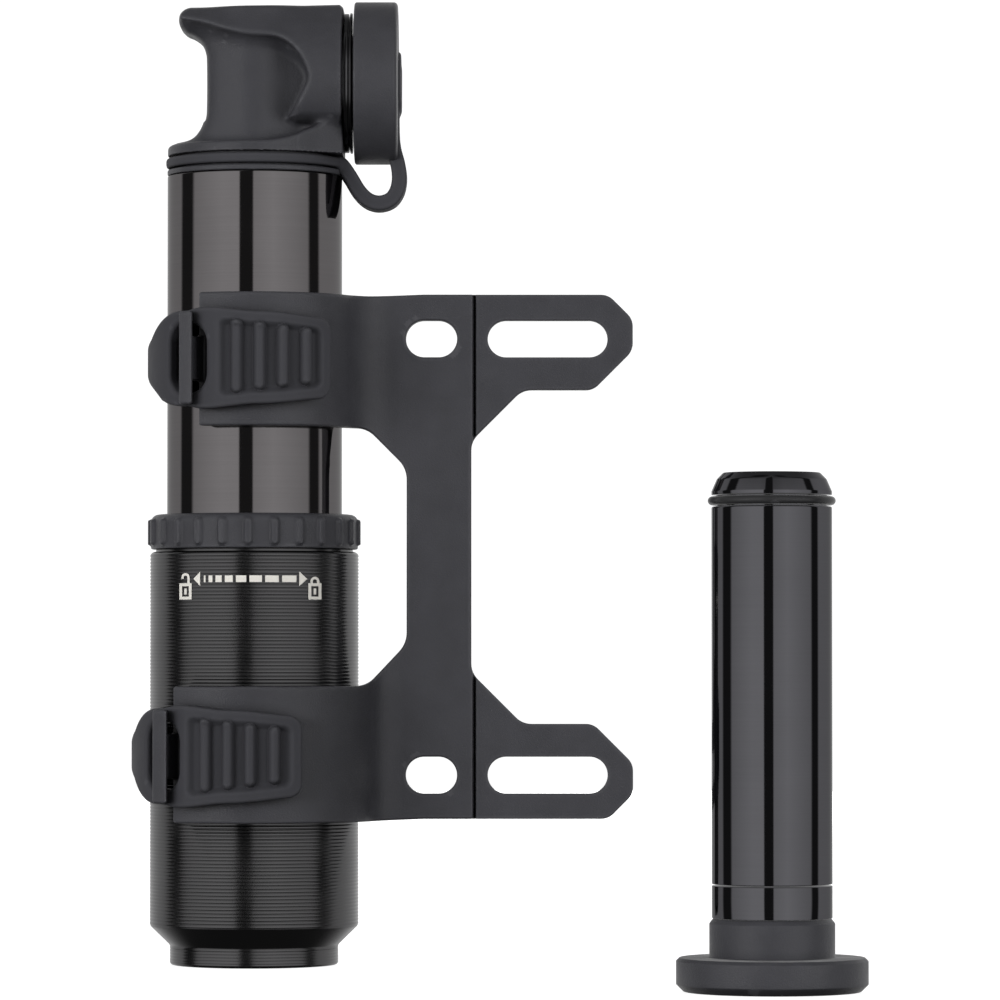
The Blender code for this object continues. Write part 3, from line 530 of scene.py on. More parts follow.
def build_lock_collar():
    """Grip ring: narrow raised bars on a smooth band with a rounded top corner."""
    low, high = COLLAR[0].z + 0.02, COLLAR[1].z
    outer = COLLAR[1].x - 0.30
    bars, bar_lift, bar_half, bar_corner, first_bar = 25, 0.46, 0.58, 0.5, 0.044
    sides = bars * 16
    inner = BARREL_R + 0.3
    lip = high - 1.6
    profile = round_corners([
        (inner + 1.0, low, 0), (outer, low, 0.25), (outer, high, 1.1), (inner, high, 0.3), (inner, lip, 0),
        (inner + 1.0, lip, 0)], 7)
    dense = []
    for (r0, z0), (r1, z1) in zip(profile, profile[1:] + profile[:1]):
        dense.append((r0, z0))
        if abs(r0 - outer) < 0.01 and abs(r1 - outer) < 0.01:
            for s in range(1, 16):
                dense.append((r0, z0 + (z1 - z0) * s / 16))
    radius = np.array([p[0] for p in dense])[:, None]
    height = np.array([p[1] for p in dense])[:, None]
    angle = (2 * np.pi * np.arange(sides) / sides)[None, :]
    across = outer * ((((angle - first_bar) * bars / (2 * np.pi)) % 1.0) - 0.5) * 2 * np.pi / bars
    along = height - (low + high) / 2 + 0.1
    bar = both(np.abs(across) - bar_half, np.abs(along) - (high - low) / 2 + 0.65, bar_corner)
    lift = bar_lift * np.clip(0.5 - bar / 0.2, 0, 1)
    lift = lift * np.clip((radius - outer + 1.2) / 1.0, 0, 1)
    r = radius + lift
    points = np.stack([r * np.cos(angle), r * np.sin(angle), height + 0 * angle], 2).reshape(-1, 3)
    rows = np.arange(len(dense) * sides).reshape(len(dense), sides)
    nxt = np.roll(rows, -1, axis=1)
    above, above_next = np.roll(rows, -1, axis=0), np.roll(nxt, -1, axis=0)
    quads = np.stack([rows, nxt, above_next, above], 2).reshape(-1, 4)
    collar = mesh_object("lock_collar_grip", points, [quads], 55)
    dress(collar, CHARCOAL, "lock_collar", "lock_collar")


def block(left, right, low, high):
    """Upright rectangle as a piece of the lock scale: (x, low, high) at its left and its right side."""
    return (left, low, high, right, low, high)


def padlock(left, foot, closed):
    """Pieces of a padlock sign: a framed body, a keyhole and a shackle."""
    wide, tall, frame_w, key = 1.85, 2.35, 0.42, 0.18
    right, top, middle = left + wide, foot + tall, left + wide / 2
    inner_left, inner_right = left + frame_w, right - frame_w
    pieces = [
        block(left, inner_left, foot, top),
        block(inner_right, right, foot, top),
        block(inner_left, inner_right, foot, foot + frame_w),
        block(inner_left, inner_right, top - frame_w, top),
        block(middle - key, middle + key, foot + 0.72, foot + 1.6),
    ]
    outer, inner = 0.64, 0.30
    crown = top + (0.30 if closed else 0.82)
    stops = sorted({-outer, -inner, inner, outer} | {-outer + 2 * outer * k / 12 for k in range(13)})
    for a, b in zip(stops, stops[1:]):
        leg_low = top - 0.02
        if not closed and b <= -inner + 0.01:
            leg_low = crown - 0.18
        piece = []
        for x in (a, b):
            high = crown + math.sqrt(max(outer ** 2 - x ** 2, 0.0))
            over_hole = a >= -inner - 0.01 and b <= inner + 0.01
            low = crown + math.sqrt(max(inner ** 2 - x ** 2, 0.0)) if over_hole else leg_low
            piece += [middle + x, low, high]
        pieces.append(tuple(piece))
    return pieces


def build_lock_scale():
    """Etched scale of the lock: open padlock, a double arrow that grows to the right, closed padlock."""
    padlock_z, line_z, half, arrow = 53.45, 56.42, 0.48, 1.05
    pieces = padlock(-10.42, padlock_z, False) + padlock(8.35, padlock_z, True)
    pieces.append((-8.3, line_z, line_z, -7.3, line_z - arrow, line_z + arrow))
    pieces.append((7.05, line_z - arrow, line_z + arrow, 8.2, line_z, line_z))
    at = -6.75
    for width in (0.25, 0.55, 0.9, 1.15, 1.5, 1.8, 1.95, 2.05):
        pieces.append(block(at, at + width, line_z - half, line_z + half))
        at += width + 0.465
    radius = SLEEVE_R + 0.03
    points, quads = [], []
    for x0, low0, high0, x1, low1, high1 in pieces:
        columns = max(1, math.ceil((x1 - x0) / 0.3))
        start = len(points)
        for k in range(columns + 1):
            t = k / columns
            x = x0 + (x1 - x0) * t
            y = -math.sqrt(radius ** 2 - x ** 2)
            points += [(x, y, low0 + (low1 - low0) * t), (x, y, high0 + (high1 - high0) * t)]
        for k in range(columns):
            a = start + 2 * k
            quads.append((a, a + 2, a + 3, a + 1))
    dress(mesh_object("lock_scale_marks", points, [np.array(quads)]), ETCH, "handle")


# ---- barrel
def build_barrel():
    """Glossy barrel and the matte ring between its top and the tether."""
    low, high = span("barrel_tube")
    top = high.z - 0.95
    bore = BARREL_R - 1.2
    profile = round_corners([
        (bore, low.z, 0.1), (BARREL_R, low.z, 0.3), (BARREL_R, top, 0.15), (bore, top, 0.1)], 4)
    turned("barrel_gloss", profile, BLACK_GLOSS, "frame", "barrel_tube", sides=224)
    foot, ring_r = top + 0.12, BARREL_R + 0.02
    profile = round_corners([
        (bore, foot, 0), (ring_r, foot, 0.25), (ring_r, high.z, 0.25), (bore, high.z, 0)], 5)
    turned("barrel_top_ring", profile, CHARCOAL, "frame", sides=192)


# ---- head
def smooth_path(points, per_span=8):
    """Catmull-Rom curve through the points."""
    points = np.array(points, float)
    padded = np.vstack([2 * points[0] - points[1], points, 2 * points[-1] - points[-2]])
    curve = []
    for k in range(len(points) - 1):
        a, b, c, d = padded[k:k + 4]
        for s in range(per_span):
            t = s / per_span
            curve.append(0.5 * (2 * b + (c - a) * t + (2 * a - 5 * b + 4 * c - d) * t ** 2
                                + (3 * b - 3 * c + d - a) * t ** 3))
    curve.append(points[-1])
    return np.array(curve)


HEAD_FLANGE_Z = 118.7
HEAD_FACE = HEAD[1].x
HOUSING_Z, HOUSING_R, HORN_R, CORE_R, WEB_HALF = 129.8, 11.05, 12.9, 7.25, 5.4
# side view of the head: horn, waist and foot on the left, then the nozzle's face
WAIST = smooth_path([
    (-10.83, 137.4), (-10.06, 136.6), (-8.9, 136.05), (-7.9, 135.2), (-7.3, 134.0), (-7.08, 132.3),
    (-7.08, 126.0), (-7.3, 124.0), (-8.1, 122.3), (-9.3, 121.0), (-11.0, 120.2)], 5)
HEAD_SIDE = [(HEAD_FACE, 118.0), (HEAD_FACE, 140.3), (HEAD_FACE - 0.6, 140.9), (9.0, 140.8), (1.0, 140.55),
             *arc((-9.0, 138.4), 2.05, 98, 202, 10), *WAIST, (-11.0, 118.0)]
# crest between the housing and the finger scoop
RIDGE = smooth_path([
    (-14.0, 138.9), (-9.0, 138.4), (-6.5, 137.7), (-4.2, 136.9), (-0.8, 136.2), (2.8, 135.8), (5.0, 134.8),
    (6.7, 133.1), (7.8, 130.9), (8.0, 129.2), (7.2, 127.3), (6.1, 125.2), (5.2, 123.9)], 5)
SCOOP = [*RIDGE, (6.2, 123.3), (9.0, 123.0), (15.0, 122.8), (15.0, 112.0), (-20.0, 112.0), (-20.0, 138.9)]


def head_field(x, y, z):
    """Moulded head: flange, waist, horn and nozzle housing, with a finger scoop on each side."""
    base = HEAD_FLANGE_Z
    across = np.hypot(x, y)
    side = polygon_field(x, z, HEAD_SIDE)
    scoop = polygon_field(x, z, SCOOP)
    housing = np.hypot(y, z - HOUSING_Z) - HOUSING_R
    horn = np.hypot(np.minimum(x, 0), y) - HORN_R
    shell = both(both(housing, horn, 0.8), side, 0.5)
    shell = smooth_max(shell, -scoop, 0.9 + 1.5 * ease(126.0 - z, 0.0, 2.5))

    # the waist, and the filler that joins it to the housing
    core = both(across - CORE_R, side, 0.8)
    web = both(side, np.abs(y) - WEB_HALF, 3.0)
    filler = np.maximum(np.abs(y) - WEB_HALF + 0.1, np.maximum(4.0 - x, x - 12.0))
    body = smooth_min(core, web, 1.4)
    body = smooth_min(body, np.maximum(filler, z - 135.0), 1.6)
    body = smooth_min(body, shell, 1.1 + 1.9 * ease(z, 130.5, 135.0))
    body = both(body, side - 12.0 * ease(124.0 - z, 0.0, 3.0), 0.6)

    # the flange, whose rim climbs towards the nozzle
    rim = (z - base - 1.5 - 0.034 * np.maximum(x - 1.0, 0.0) ** 2) / 1.12
    slant = (np.abs(y) - 7.0 - 0.6 * (HEAD_FACE - x)) / 1.17
    foot = both(np.maximum(slant, np.maximum(x - HEAD_FACE, 7.0 - x)), rim, 0.6)
    flange = both(across - BARREL_R + 0.05, rim, 0.5)
    body = smooth_min(body, smooth_min(flange, foot, 0.6), 1.5)
    body = np.maximum(body, base - z)
    return both(body, x - HEAD_FACE, 0.3)


def build_head():
    """The moulding, and the spigot below it that holds the O-ring inside the barrel."""
    low = (-13.2, -13.2, HEAD_FLANGE_Z - 0.2)
    high = (13.8, 13.2, HEAD[1].z + 0.3)
    head = net_mesh("pump_head_moulding", head_field, low, high, 0.26)
    dress(head, CHARCOAL, "frame", "pump_head")
    hole, rim, groove, foot, top = 4.4, 11.3, 9.8, 110.0, 119.0
    spigot = round_corners([
        (hole, foot, 0.2), (rim, foot, 0.3), (rim, foot + 1.7, 0), (groove, foot + 1.7, 0),
        (groove, foot + 3.7, 0), (rim, foot + 3.7, 0), (rim, top, 0), (hole, top, 0)], 3)
    turned("head_spigot", spigot, CHARCOAL, "frame", sides=96)


# turned about the nozzle's axis
ACROSS = {"axis": "X", "centre": (0, 0, CAP_Z)}


def build_nozzle():
    """Nozzle lip, gasket and plunger inside the chuck ring, seen when the cap is open."""
    low, high = span("valve_nozzle")
    outer, mouth, seat, lip = high.z - CAP_Z, 3.6, 5.6, high.x - 1.2
    nozzle = round_corners([
        (seat, low.x, 0.1), (outer, low.x, 0.2), (outer, high.x - 0.9, 0.3), (outer - 0.9, high.x, 0.35),
        (mouth, high.x, 0.35), (mouth, lip, 0.1), (seat, lip, 0)], 4)
    turned("valve_nozzle_lip", nozzle, CHARCOAL, "frame", "valve_nozzle", **ACROSS, sides=112)
    low, high = span("chuck_gasket")
    outer, hole = high.z - CAP_Z, 2.8
    gasket = round_corners([
        (hole, low.x, 0.3), (outer, low.x, 0.2), (outer, high.x, 0.2), (hole + 0.6, high.x, 0.3),
        (hole, high.x - 0.6, 0.3)], 4)
    turned("chuck_gasket_soft", gasket, SOFT_RUBBER, "frame", "chuck_gasket", **ACROSS, sides=96)
    low, high = span("chuck_plunger")
    plunger = [(0.0, low.x), (4.6, low.x), (4.6, high.x), (0.0, high.x)]
    turned("chuck_plunger_disc", plunger, CHARCOAL, "frame", "chuck_plunger", **ACROSS, sides=64)


def build_valve_spring():
    """Coil spring of the check valve, with a mesh of its own."""
    low, high = span("check_valve_spring")
    wire, turns, per_turn, sides = 0.33, 4, 32, 12
    radius = high.x - wire
    steps = turns * per_turn
    angle = 2 * np.pi * np.arange(steps + 1)[:, None] / per_turn
    around = 2 * np.pi * np.arange(sides)[None, :] / sides
    out = radius + wire * np.cos(around)
    length = high.z - low.z
    rise = low.z + wire + (length - 2 * wire) * np.arange(steps + 1)[:, None] / steps
    rise = rise + wire * np.sin(around)
    points = np.stack([out * np.cos(angle), out * np.sin(angle), rise], 2).reshape(-1, 3)
    rows = np.arange(len(points)).reshape(steps + 1, sides)
    following = np.roll(rows, -1, axis=1)
    quads = np.stack([rows[:-1], following[:-1], following[1:], rows[1:]], 2).reshape(-1, 4)
    spring = mesh_object("check_valve_spring_wire", points, [quads, rows[:1, ::-1], rows[-1:]], 50)
    dress(spring, STEEL, "frame", "check_valve_spring")
    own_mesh(spring)


def build_cap():
    """Dust cap with a soft rim, and the glossy two-step ring behind it."""
    low, high = CAP
    radius = high.z - CAP_Z
    wall = 1.5
    cavity, floor = radius - wall, high.x - wall
    profile = round_corners([
        (0.0, floor, 0), (cavity, floor, 0.3), (cavity, low.x, 0.3), (radius, low.x, 0.35),
        (radius, high.x + 0.35, 0.6), (radius - 3.0, high.x + 0.4, 0), (0.0, high.x + 0.5, 0)], 5)
    turned("dust_cap_moulding", profile, CHARCOAL, "dust_cap", "dust_cap", **ACROSS)

    low, high = span("chuck_ring")
    radius = high.z - CAP_Z
    bore, skirt, skirt_end = 7.3, 8.5, 9.0
    back = HEAD_FACE + 0.05
    inside = [(bore, skirt_end), (skirt, skirt_end), (skirt, back)]
    split = (HEAD_FACE + high.x) / 2 + 0.1
    groove, second, second_r = radius - 0.45, split + 0.16, radius + 0.1
    outside = round_corners([
        (radius - 0.6, back, 0), (radius, back, 0.12), (radius, split, 0.12), (groove, split, 0)], 4)
    outside += round_corners([
        (groove, second, 0), (second_r, second, 0.12), (second_r, high.x, 0.12), (bore, high.x, 0)], 4)
    turned("chuck_ring_gloss", inside + outside, CHUCK_BLACK, "chuck_ring", "chuck_ring", **ACROSS)


# the tether's middle line in side view, from its ring round the bend to the pad on the cap
TETHER_PATH = [(12.0, 117.6), (12.9, 117.3), (14.1, 115.6), (15.4, 113.5), (16.8, 112.2), (18.4, 111.8),
               (20.0, 112.3), (20.95, 113.6), (21.3, 115.4), (21.1, 117.4), (20.45, 120.0), (20.2, 123.0),
               (20.2, 131.5)]
TETHER_CURVE = smooth_path(TETHER_PATH)
TETHER_TOP = span("tether_ring")[1].z
TETHER_HALF = 0.725


def tether_field(x, y, z):
    """Flat ring under the head, the bent strap and the round pad where it joins the cap."""
    across = np.hypot(x, y)
    level = np.abs(z - TETHER_TOP + TETHER_HALF) - TETHER_HALF
    ring = both(across - (BARREL_R + 0.2), level, 0.45)
    ring = both(ring, 11.5 - across, 0.2)
    strap = both(path_distance(x, z, TETHER_CURVE) - 1.1, np.abs(y) - 2.9, 0.5)
    pad = both(np.hypot(y, z - CAP_Z) - 4.7, np.abs(x - 20.7) - 0.85, 0.6)
    strap = smooth_min(strap, pad, 0.8)
    return smooth_min(ring, strap, 0.9)


def build_tether():
    tether = net_mesh("tether_strap", tether_field, (-13.4, -13.4, 110.3), (23.2, 13.4, 135.4), 0.26)
    dress(tether, SOFT_RUBBER, None, "tether_ring", "cap_strap")
    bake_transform(tether)


# ---- bracket
PLATE_T = 3.0
ARM_T = 2.5
SPINE_LEFT, SPINE_RIGHT = 22.4, 32.1
SLOT_W = 5.4
LONG_SLOT = (34.3, 51.9)
SHORT_SLOT = (22.3, 29.8)
BOSS_Z = (27.8, 91.8)
BRACKET_MIDDLE = sum(BOSS_Z) / 2
LUG_HALF, LUG_T, PIN_R = 6.4, 2.0, 0.9
HOOK_GAP, HOOK_T, STEM_HALF, BAR_HALF = 2.8, 1.6, 3.2, 6.75

# the saddles and their straps: heights and radii, then places across the pump
UPPER = {
    "name": "upper", "mid": 88.3, "bore": 13.25, "skin": 15.6, "blend": 7.5, "band": (13.2, 15.7),
    "tab_r": 17.15, "tip_x": -7.0, "bar": (-10.2, -8.3), "window_x": -8.9, "print_x": -4.2, "end_x": 10.9,
    "ribs": (-1.85, 1.5, 4.85, 8.15), "pin": (15.4, 0.3),
}
LOWER = {
    "name": "lower", "mid": 30.8, "bore": 15.9, "skin": 18.1, "blend": 5.5, "band": (15.9, 18.0),
    "tab_r": 19.6, "tip_x": -10.5, "bar": (-13.9, -11.8), "window_x": -12.35, "print_x": -8.4, "end_x": 7.35,
    "ribs": (-6.2, -2.9, 0.3, 3.8), "pin": (18.3, 0.5),
}


def slot_field(x, z, ends, level):
    """Round-ended slot in side view."""
    half = SLOT_W / 2
    middle = (ends[0] + ends[1]) / 2
    reach = (ends[1] - ends[0]) / 2 - half
    return np.hypot(np.maximum(np.abs(x - middle) - reach, 0), z - level) - half


def saddle_tip(level):
    """Angle of the saddle's free end, in degrees."""
    return -math.degrees(math.acos(level["tip_x"] / ((level["bore"] + level["skin"]) / 2)))


def saddle_profile(level):
    """Section of the bracket across the pump: a wall round the pump's front that flows into the plate."""
    bore, skin, blend = level["bore"], level["skin"], level["blend"]
    wall = skin - bore
    turn = math.degrees(math.asin((PLATE_T + blend) / (skin + blend)))
    centre = ((skin + blend) * math.cos(math.radians(turn)), -PLATE_T - blend)
    tip = saddle_tip(level)
    outer = arc((0, 0), skin, tip, -turn, 60) + arc(centre, blend, 180 - turn, 90, 20)[1:]
    back = [(70.0, -PLATE_T), (70.0, 0.0), (centre[0] + 1.0, 0.0)]
    inner = arc(centre, blend + wall, 90, 180 - turn, 20) + arc((0, 0), bore, -turn, tip, 60)[1:]
    return outer + back + inner


def hook_profile(level):
    """Stem and bar of the hook, in section across the pump. The bar's sides are square to the plate."""
    inner = level["skin"] + HOOK_GAP
    outer = inner + HOOK_T
    left, right = level["bar"]
    middle = -math.degrees(math.acos((left + right) / 2 / inner))
    tip = saddle_tip(level)
    stem = arc((0, 0), level["bore"] + 0.5, tip + 3, tip - 2, 6)
    stem += arc((0, 0), inner + 0.2, middle - 1.7, middle + 1.7, 4)
    stem += arc((0, 0), level["skin"] - 0.4, tip + 3.5, tip + 3.5, 1)[:1]
    across = [left + (right - left) * k / 8 for k in range(9)]
    bar = [(x, -math.sqrt(outer ** 2 - x ** 2)) for x in across]
    bar += [(x, -math.sqrt(inner ** 2 - x ** 2)) for x in reversed(across)]
    return stem, bar


def lug_profile(level):
    """Lug that holds the strap's pin, in section across the pump."""
    x, y = level["pin"]
    return arc((x, y), 2.1, 20, 215, 24) + [(x - 0.6, y - 3.6), (x + 3.3, y - 2.6)]


# side view of the bracket: the saddles' ends on the left, the spine and the four arms
SILHOUETTE = round_corners([
    (-40.0, 78.6, 0), (16.6, 78.6, 3.5), (SPINE_LEFT, 72.8, 4.0), (SPINE_LEFT, 47.1, 4.0),
    (16.6, 40.9, 3.5), (-40.0, 40.9, 0), (-40.0, 21.1, 0), (17.0, 21.1, 0), (25.0, 21.4, 0),
    (52.0, 21.4, 2.6), (55.6, 25.0, 2.6), (55.6, 29.5, 2.6), (49.8, 35.3, 2.6), (39.4, 35.3, 3.2),
    (31.9, 42.8, 3.2), (31.9, 76.8, 3.2), (39.4, 84.3, 3.2), (49.8, 84.3, 2.6), (55.6, 90.1, 2.6),
    (55.6, 94.7, 2.6), (52.0, 98.3, 2.6), (25.0, 98.3, 0), (17.0, 98.0, 0), (-40.0, 98.0, 0)], 8)
PROFILES = {level["name"]: (saddle_profile(level), *hook_profile(level), lug_profile(level))
            for level in (UPPER, LOWER)}


def bracket_field(x, y, z):
    """The bracket: two sections, each cut to the side view, with slots, hooks and pin lugs."""
    side = polygon_field(x, z, SILHOUETTE)
    for boss in BOSS_Z:
        for ends in (LONG_SLOT, SHORT_SLOT):
            side = np.maximum(side, -slot_field(x, z, ends, boss))
    body = None
    for level in (UPPER, LOWER):
        saddle, stem, bar, lug = (polygon_field(x, y, outline) for outline in PROFILES[level["name"]])
        mid = level["mid"]
        part = both(saddle, side, 0.38)
        height = np.abs(z - mid)
        part = smooth_min(part, both(stem, height - STEM_HALF, 0.3), 0.3)
        part = smooth_min(part, both(bar, height - BAR_HALF, 0.4), 0.25)
        ear = both(lug, np.abs(height - LUG_HALF - LUG_T / 2) - LUG_T / 2, 0.3)
        part = smooth_min(part, ear, 0.5)
        hole = np.hypot(x - level["pin"][0], y - level["pin"][1]) - PIN_R - 0.1
        part = np.maximum(part, -np.maximum(hole, height - 9.0))
        body = part if body is None else np.where(z > BRACKET_MIDDLE, body, part)
    step = smooth_max(SPINE_RIGHT - x, y + ARM_T, 0.2)
    body = smooth_max(body, -step, 0.15)
    groove = np.hypot(x - SPINE_RIGHT - 0.18, np.minimum(y + ARM_T - 0.1, 0)) - 0.22
    return np.maximum(body, -np.maximum(groove, y + ARM_T - 0.35))


def build_bracket():
    low, high = span("bracket_frame")
    pad = 0.3
    low = (low.x - pad, low.y - pad, low.z - pad)
    high = (high.x + pad, high.y + pad, high.z + pad)
    bracket = net_mesh("bracket_moulding", bracket_field, low, high, 0.3)
    dress(bracket, CHARCOAL, "frame", "bracket_frame")


# ---- straps
def strap_shape(level):
    """Field of one rubber strap in polar terms: its middle surface, its height and its relief by angle."""
    inner, outer = level["band"]
    mean, half = (inner + outer) / 2, (outer - inner) / 2
    tab_r, mid = level["tab_r"], level["mid"]
    pin = level["pin"]
    rib_lift, tab_half = 1.2, 1.1

    def front_angle(x, radius):
        return 360 - math.degrees(math.acos(x / radius))

    window_at = front_angle(level["window_x"], tab_r)
    finish = front_angle(level["end_x"], tab_r)
    print_low = front_angle(level["print_x"], tab_r)
    rib_angles = [front_angle(x, tab_r + rib_lift) for x in level["ribs"]]
    start = math.degrees(math.atan2(pin[1], pin[0]))
    per_degree = math.radians(1) * tab_r

    def field(x, y, z):
        radius = np.hypot(x, y)
        turn = (np.degrees(np.arctan2(y, x)) + 20.0) % 360.0 - 20.0
        climb = ease(turn, 186.0, window_at + 6.0)
        middle = mean + (tab_r - mean) * climb
        thick = half + (tab_half - half) * climb
        climbs = (climb > 0) * (climb < 1)
        slope = np.cos(np.arctan((tab_r - mean) * 1.2 / (window_at - 180) * 57.3 / mean * climbs))
        n = (radius - middle) * slope
        height = 6.0 + 0.9 * ease(turn, 181.0, window_at - 4.0)
        height = height + 0.45 * ease(turn, window_at - 1.0, window_at + 9.0)
        height = height - 0.65 * ease(turn, window_at + 11.0, rib_angles[1])
        height = height - 0.85 * ease(turn, rib_angles[1], finish)
        bevel = 3.35 * (1 - ease(turn, 196.0, window_at - 3.0))
        share = np.clip((n + thick) / (2 * thick), 0, 1)
        over = np.abs(z - mid) - (height - bevel * share)
        over = over / np.sqrt(1 + (bevel / (2 * thick)) ** 2)
        plan = both((turn - finish) * per_degree, over, 1.9)

        # the sunk panel of the tab with its ribs
        along = (turn - print_low) * per_degree
        length = (finish - print_low) * per_degree - 1.5
        trough = both(np.abs(along - length / 2) - length / 2, np.abs(z - mid) - height + 1.5, 1.2)
        lift = 0.30 * ease(turn, window_at + 8.0, print_low) - 0.70 * (1 - ease(trough, -1.0, 0.2))
        for k, angle in enumerate(rib_angles):
            rib_half = 5.25 - 0.38 * k
            rib = np.hypot((turn - angle) * per_degree, np.maximum(np.abs(z - mid - 0.2) - rib_half + 0.8, 0))
            lift = lift + rib_lift * (1 - np.clip(rib / 0.92, 0, 1) ** 3)
        slab = np.maximum(n - thick - lift, -n - thick)
        strap = both(slab, plan, 0.5)
        window = both(np.abs(turn - window_at) * per_degree - 3.25, np.abs(z - mid) - 5.05, 2.9)
        strap = both(strap, -window, 0.75)
        strap = np.maximum(strap, (start + 1.0 - turn) * per_degree)
        away = np.hypot(x - pin[0], y - pin[1])
        eye = both(away - 1.95, np.abs(z - mid) - 6.0, 0.4)
        strap = smooth_min(strap, eye, 0.8)
        return np.maximum(strap, PIN_R + 0.05 - away)

    return field


def build_pins():
    """Steel pins of the strap hinges, with domed ends."""
    for level in (UPPER, LOWER):
        name = f"strap_{level['name']}_pin"
        low, high = span(name)
        radius = (high.x - low.x) / 2
        outline = round_corners([
            (0.0, low.z, 0), (radius, low.z, 0.35), (radius, high.z, 0.35), (0.0, high.z, 0)], 4)
        at = ((low.x + high.x) / 2, (low.y + high.y) / 2, 0.0)
        turned(name + "_fine", outline, STEEL, "frame", name, centre=at, sides=48)


def build_straps():
    for level in (UPPER, LOWER):
        name = level["name"]
        reach = level["tab_r"] + 2.4
        low = (-reach, -reach, level["mid"] - 7.8)
        high = (level["pin"][0] + 2.4, level["band"][1] + 0.6, level["mid"] + 7.8)
        strap = net_mesh(f"strap_{name}_rubber", strap_shape(level), low, high, 0.26)
        dress(strap, SOFT_RUBBER, None, f"strap_{name}_band", f"strap_{name}_tab")
        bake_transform(strap)


# ---- capsule
def build_capsule():
    """Storage capsule: plug with its flange, threaded base, tube with a bevelled nose, and O-ring."""
    cx, cy = CAPSULE_AT
    at = (cx, cy, 0.0)
    flange_r, flange_h = PLUG[1].x - cx, 4.6
    collar_r, collar_top = 8.5, PLUG[1].z
    plug = round_corners([
        (0.0, 0.02, 0), (flange_r - 1.0, 0.02, 0.25), (flange_r, 1.0, 0.3), (flange_r, flange_h - 0.45, 0.15),
        (flange_r - 0.45, flange_h, 0.15), (collar_r, flange_h, 0.25), (collar_r, collar_top - 0.7, 0.15),
        (collar_r - 0.55, collar_top, 0.15), (0.0, collar_top, 0)], 4)
    turned("capsule_plug_moulding", plug, CHARCOAL, "capsule", "capsule_plug", centre=at)

    tube_low, tube_high = span("capsule_tube")
    radius = tube_high.x - cx
    seam = tube_low.z
    root, crest, pitch = radius - 1.25, radius - 0.88, 0.9
    thread = []
    for k in range(5):
        foot = seam + 0.5 + pitch * k
        thread += [(root, foot, 0), (crest, foot + 0.3, 0.05)]
        thread += [(crest, foot + 0.42, 0.05), (root, foot + 0.72, 0)]
    base = round_corners([
        (0.0, collar_top + 0.03, 0), (radius, collar_top + 0.03, 0.06), (radius, seam - 0.22, 0.06),
        (radius - 0.9, seam - 0.04, 0)] + thread + [(radius - 1.4, seam + 5.2, 0.1), (0.0, seam + 5.2, 0)], 3)
    turned("capsule_base_gloss", base, CAPSULE_BLACK, "capsule", "capsule_base", centre=at, sides=192)

    ring_low, ring_high = span("capsule_o_ring")
    groove_low, groove_high, groove_r = ring_low.z - 0.12, ring_high.z + 0.12, 7.5
    top, bore = tube_high.z, 7.3
    tube = round_corners([
        (0.0, top - 4.0, 0), (bore, top - 4.0, 0), (bore, seam, 0), (radius, seam, 0.12),
        (radius, groove_low, 0.25), (groove_r, groove_low, 0.1), (groove_r, groove_high, 0.1),
        (radius, groove_high, 0.1), (radius, groove_high + 0.5, 0.25),
        (radius - 0.72, groove_high + 2.15, 0.8), (radius - 1.6, top - 0.03, 0.4), (0.0, top, 0)], 5)
    turned("capsule_tube_gloss", tube, CAPSULE_BLACK, "capsule_tube", "capsule_tube", centre=at, sides=192)

    middle = (ring_low.z + ring_high.z) / 2
    cord = 0.6
    centre_r = ring_high.x - cx - cord
    ring = arc((centre_r, middle), cord, 0, 342, 19)
    turned("capsule_o_ring_cord", ring, SEAL_RUBBER, "capsule_tube", "capsule_o_ring", centre=at, sides=144)


# ---- floor, light and camera
EYE = Vector((36.1, -844.0, 45.4)) * MM
AIM = Vector((36.1, 0.0, 68.2)) * MM
FOCAL_LENGTH = 206.6


def build_stage():
    """Pale floor that sweeps up behind the object."""
    front, back, half, bend, rise, gap = -1600.0, 1200.0, 3000.0, 600.0, 2500.0, 0.05
    rows = [(front, 0.0)] + arc((back, bend), bend, -90, 0, 16) + [(back + bend, rise)]
    points = []
    for y, z in rows:
        points += [(-half, y, z - gap), (half, y, z - gap)]
    index = np.arange(len(rows) - 1) * 2
    quads = np.stack([index, index + 1, index + 3, index + 2], 1)
    floor = mesh_object("studio_floor", points, [quads])
    made, t, shader, place = new_material("studio_paper")
    t.fill(shader, {
        "Base Color": t.mix(t.noise(place, 900.0), (0.38, 0.38, 0.38, 1), (0.40, 0.40, 0.40, 1)),
        "Roughness": 0.9,
        "Specular IOR Level": 0.0,
        "Emission Color": (1.0, 1.0, 1.0, 1.0),
        "Emission Strength": 0.90,
    })
    floor.data.materials.append(made)
    floor.visible_glossy = False
    floor.visible_diffuse = False


# gaps between the mirrored light panels: from and to in azimuth, and the softness of their edges, in degrees
PANEL_GAPS = ((-111.0, -87.5, 3.5), (-18.0, 0.0, 1.3), (79.0, 96.5, 3.0))


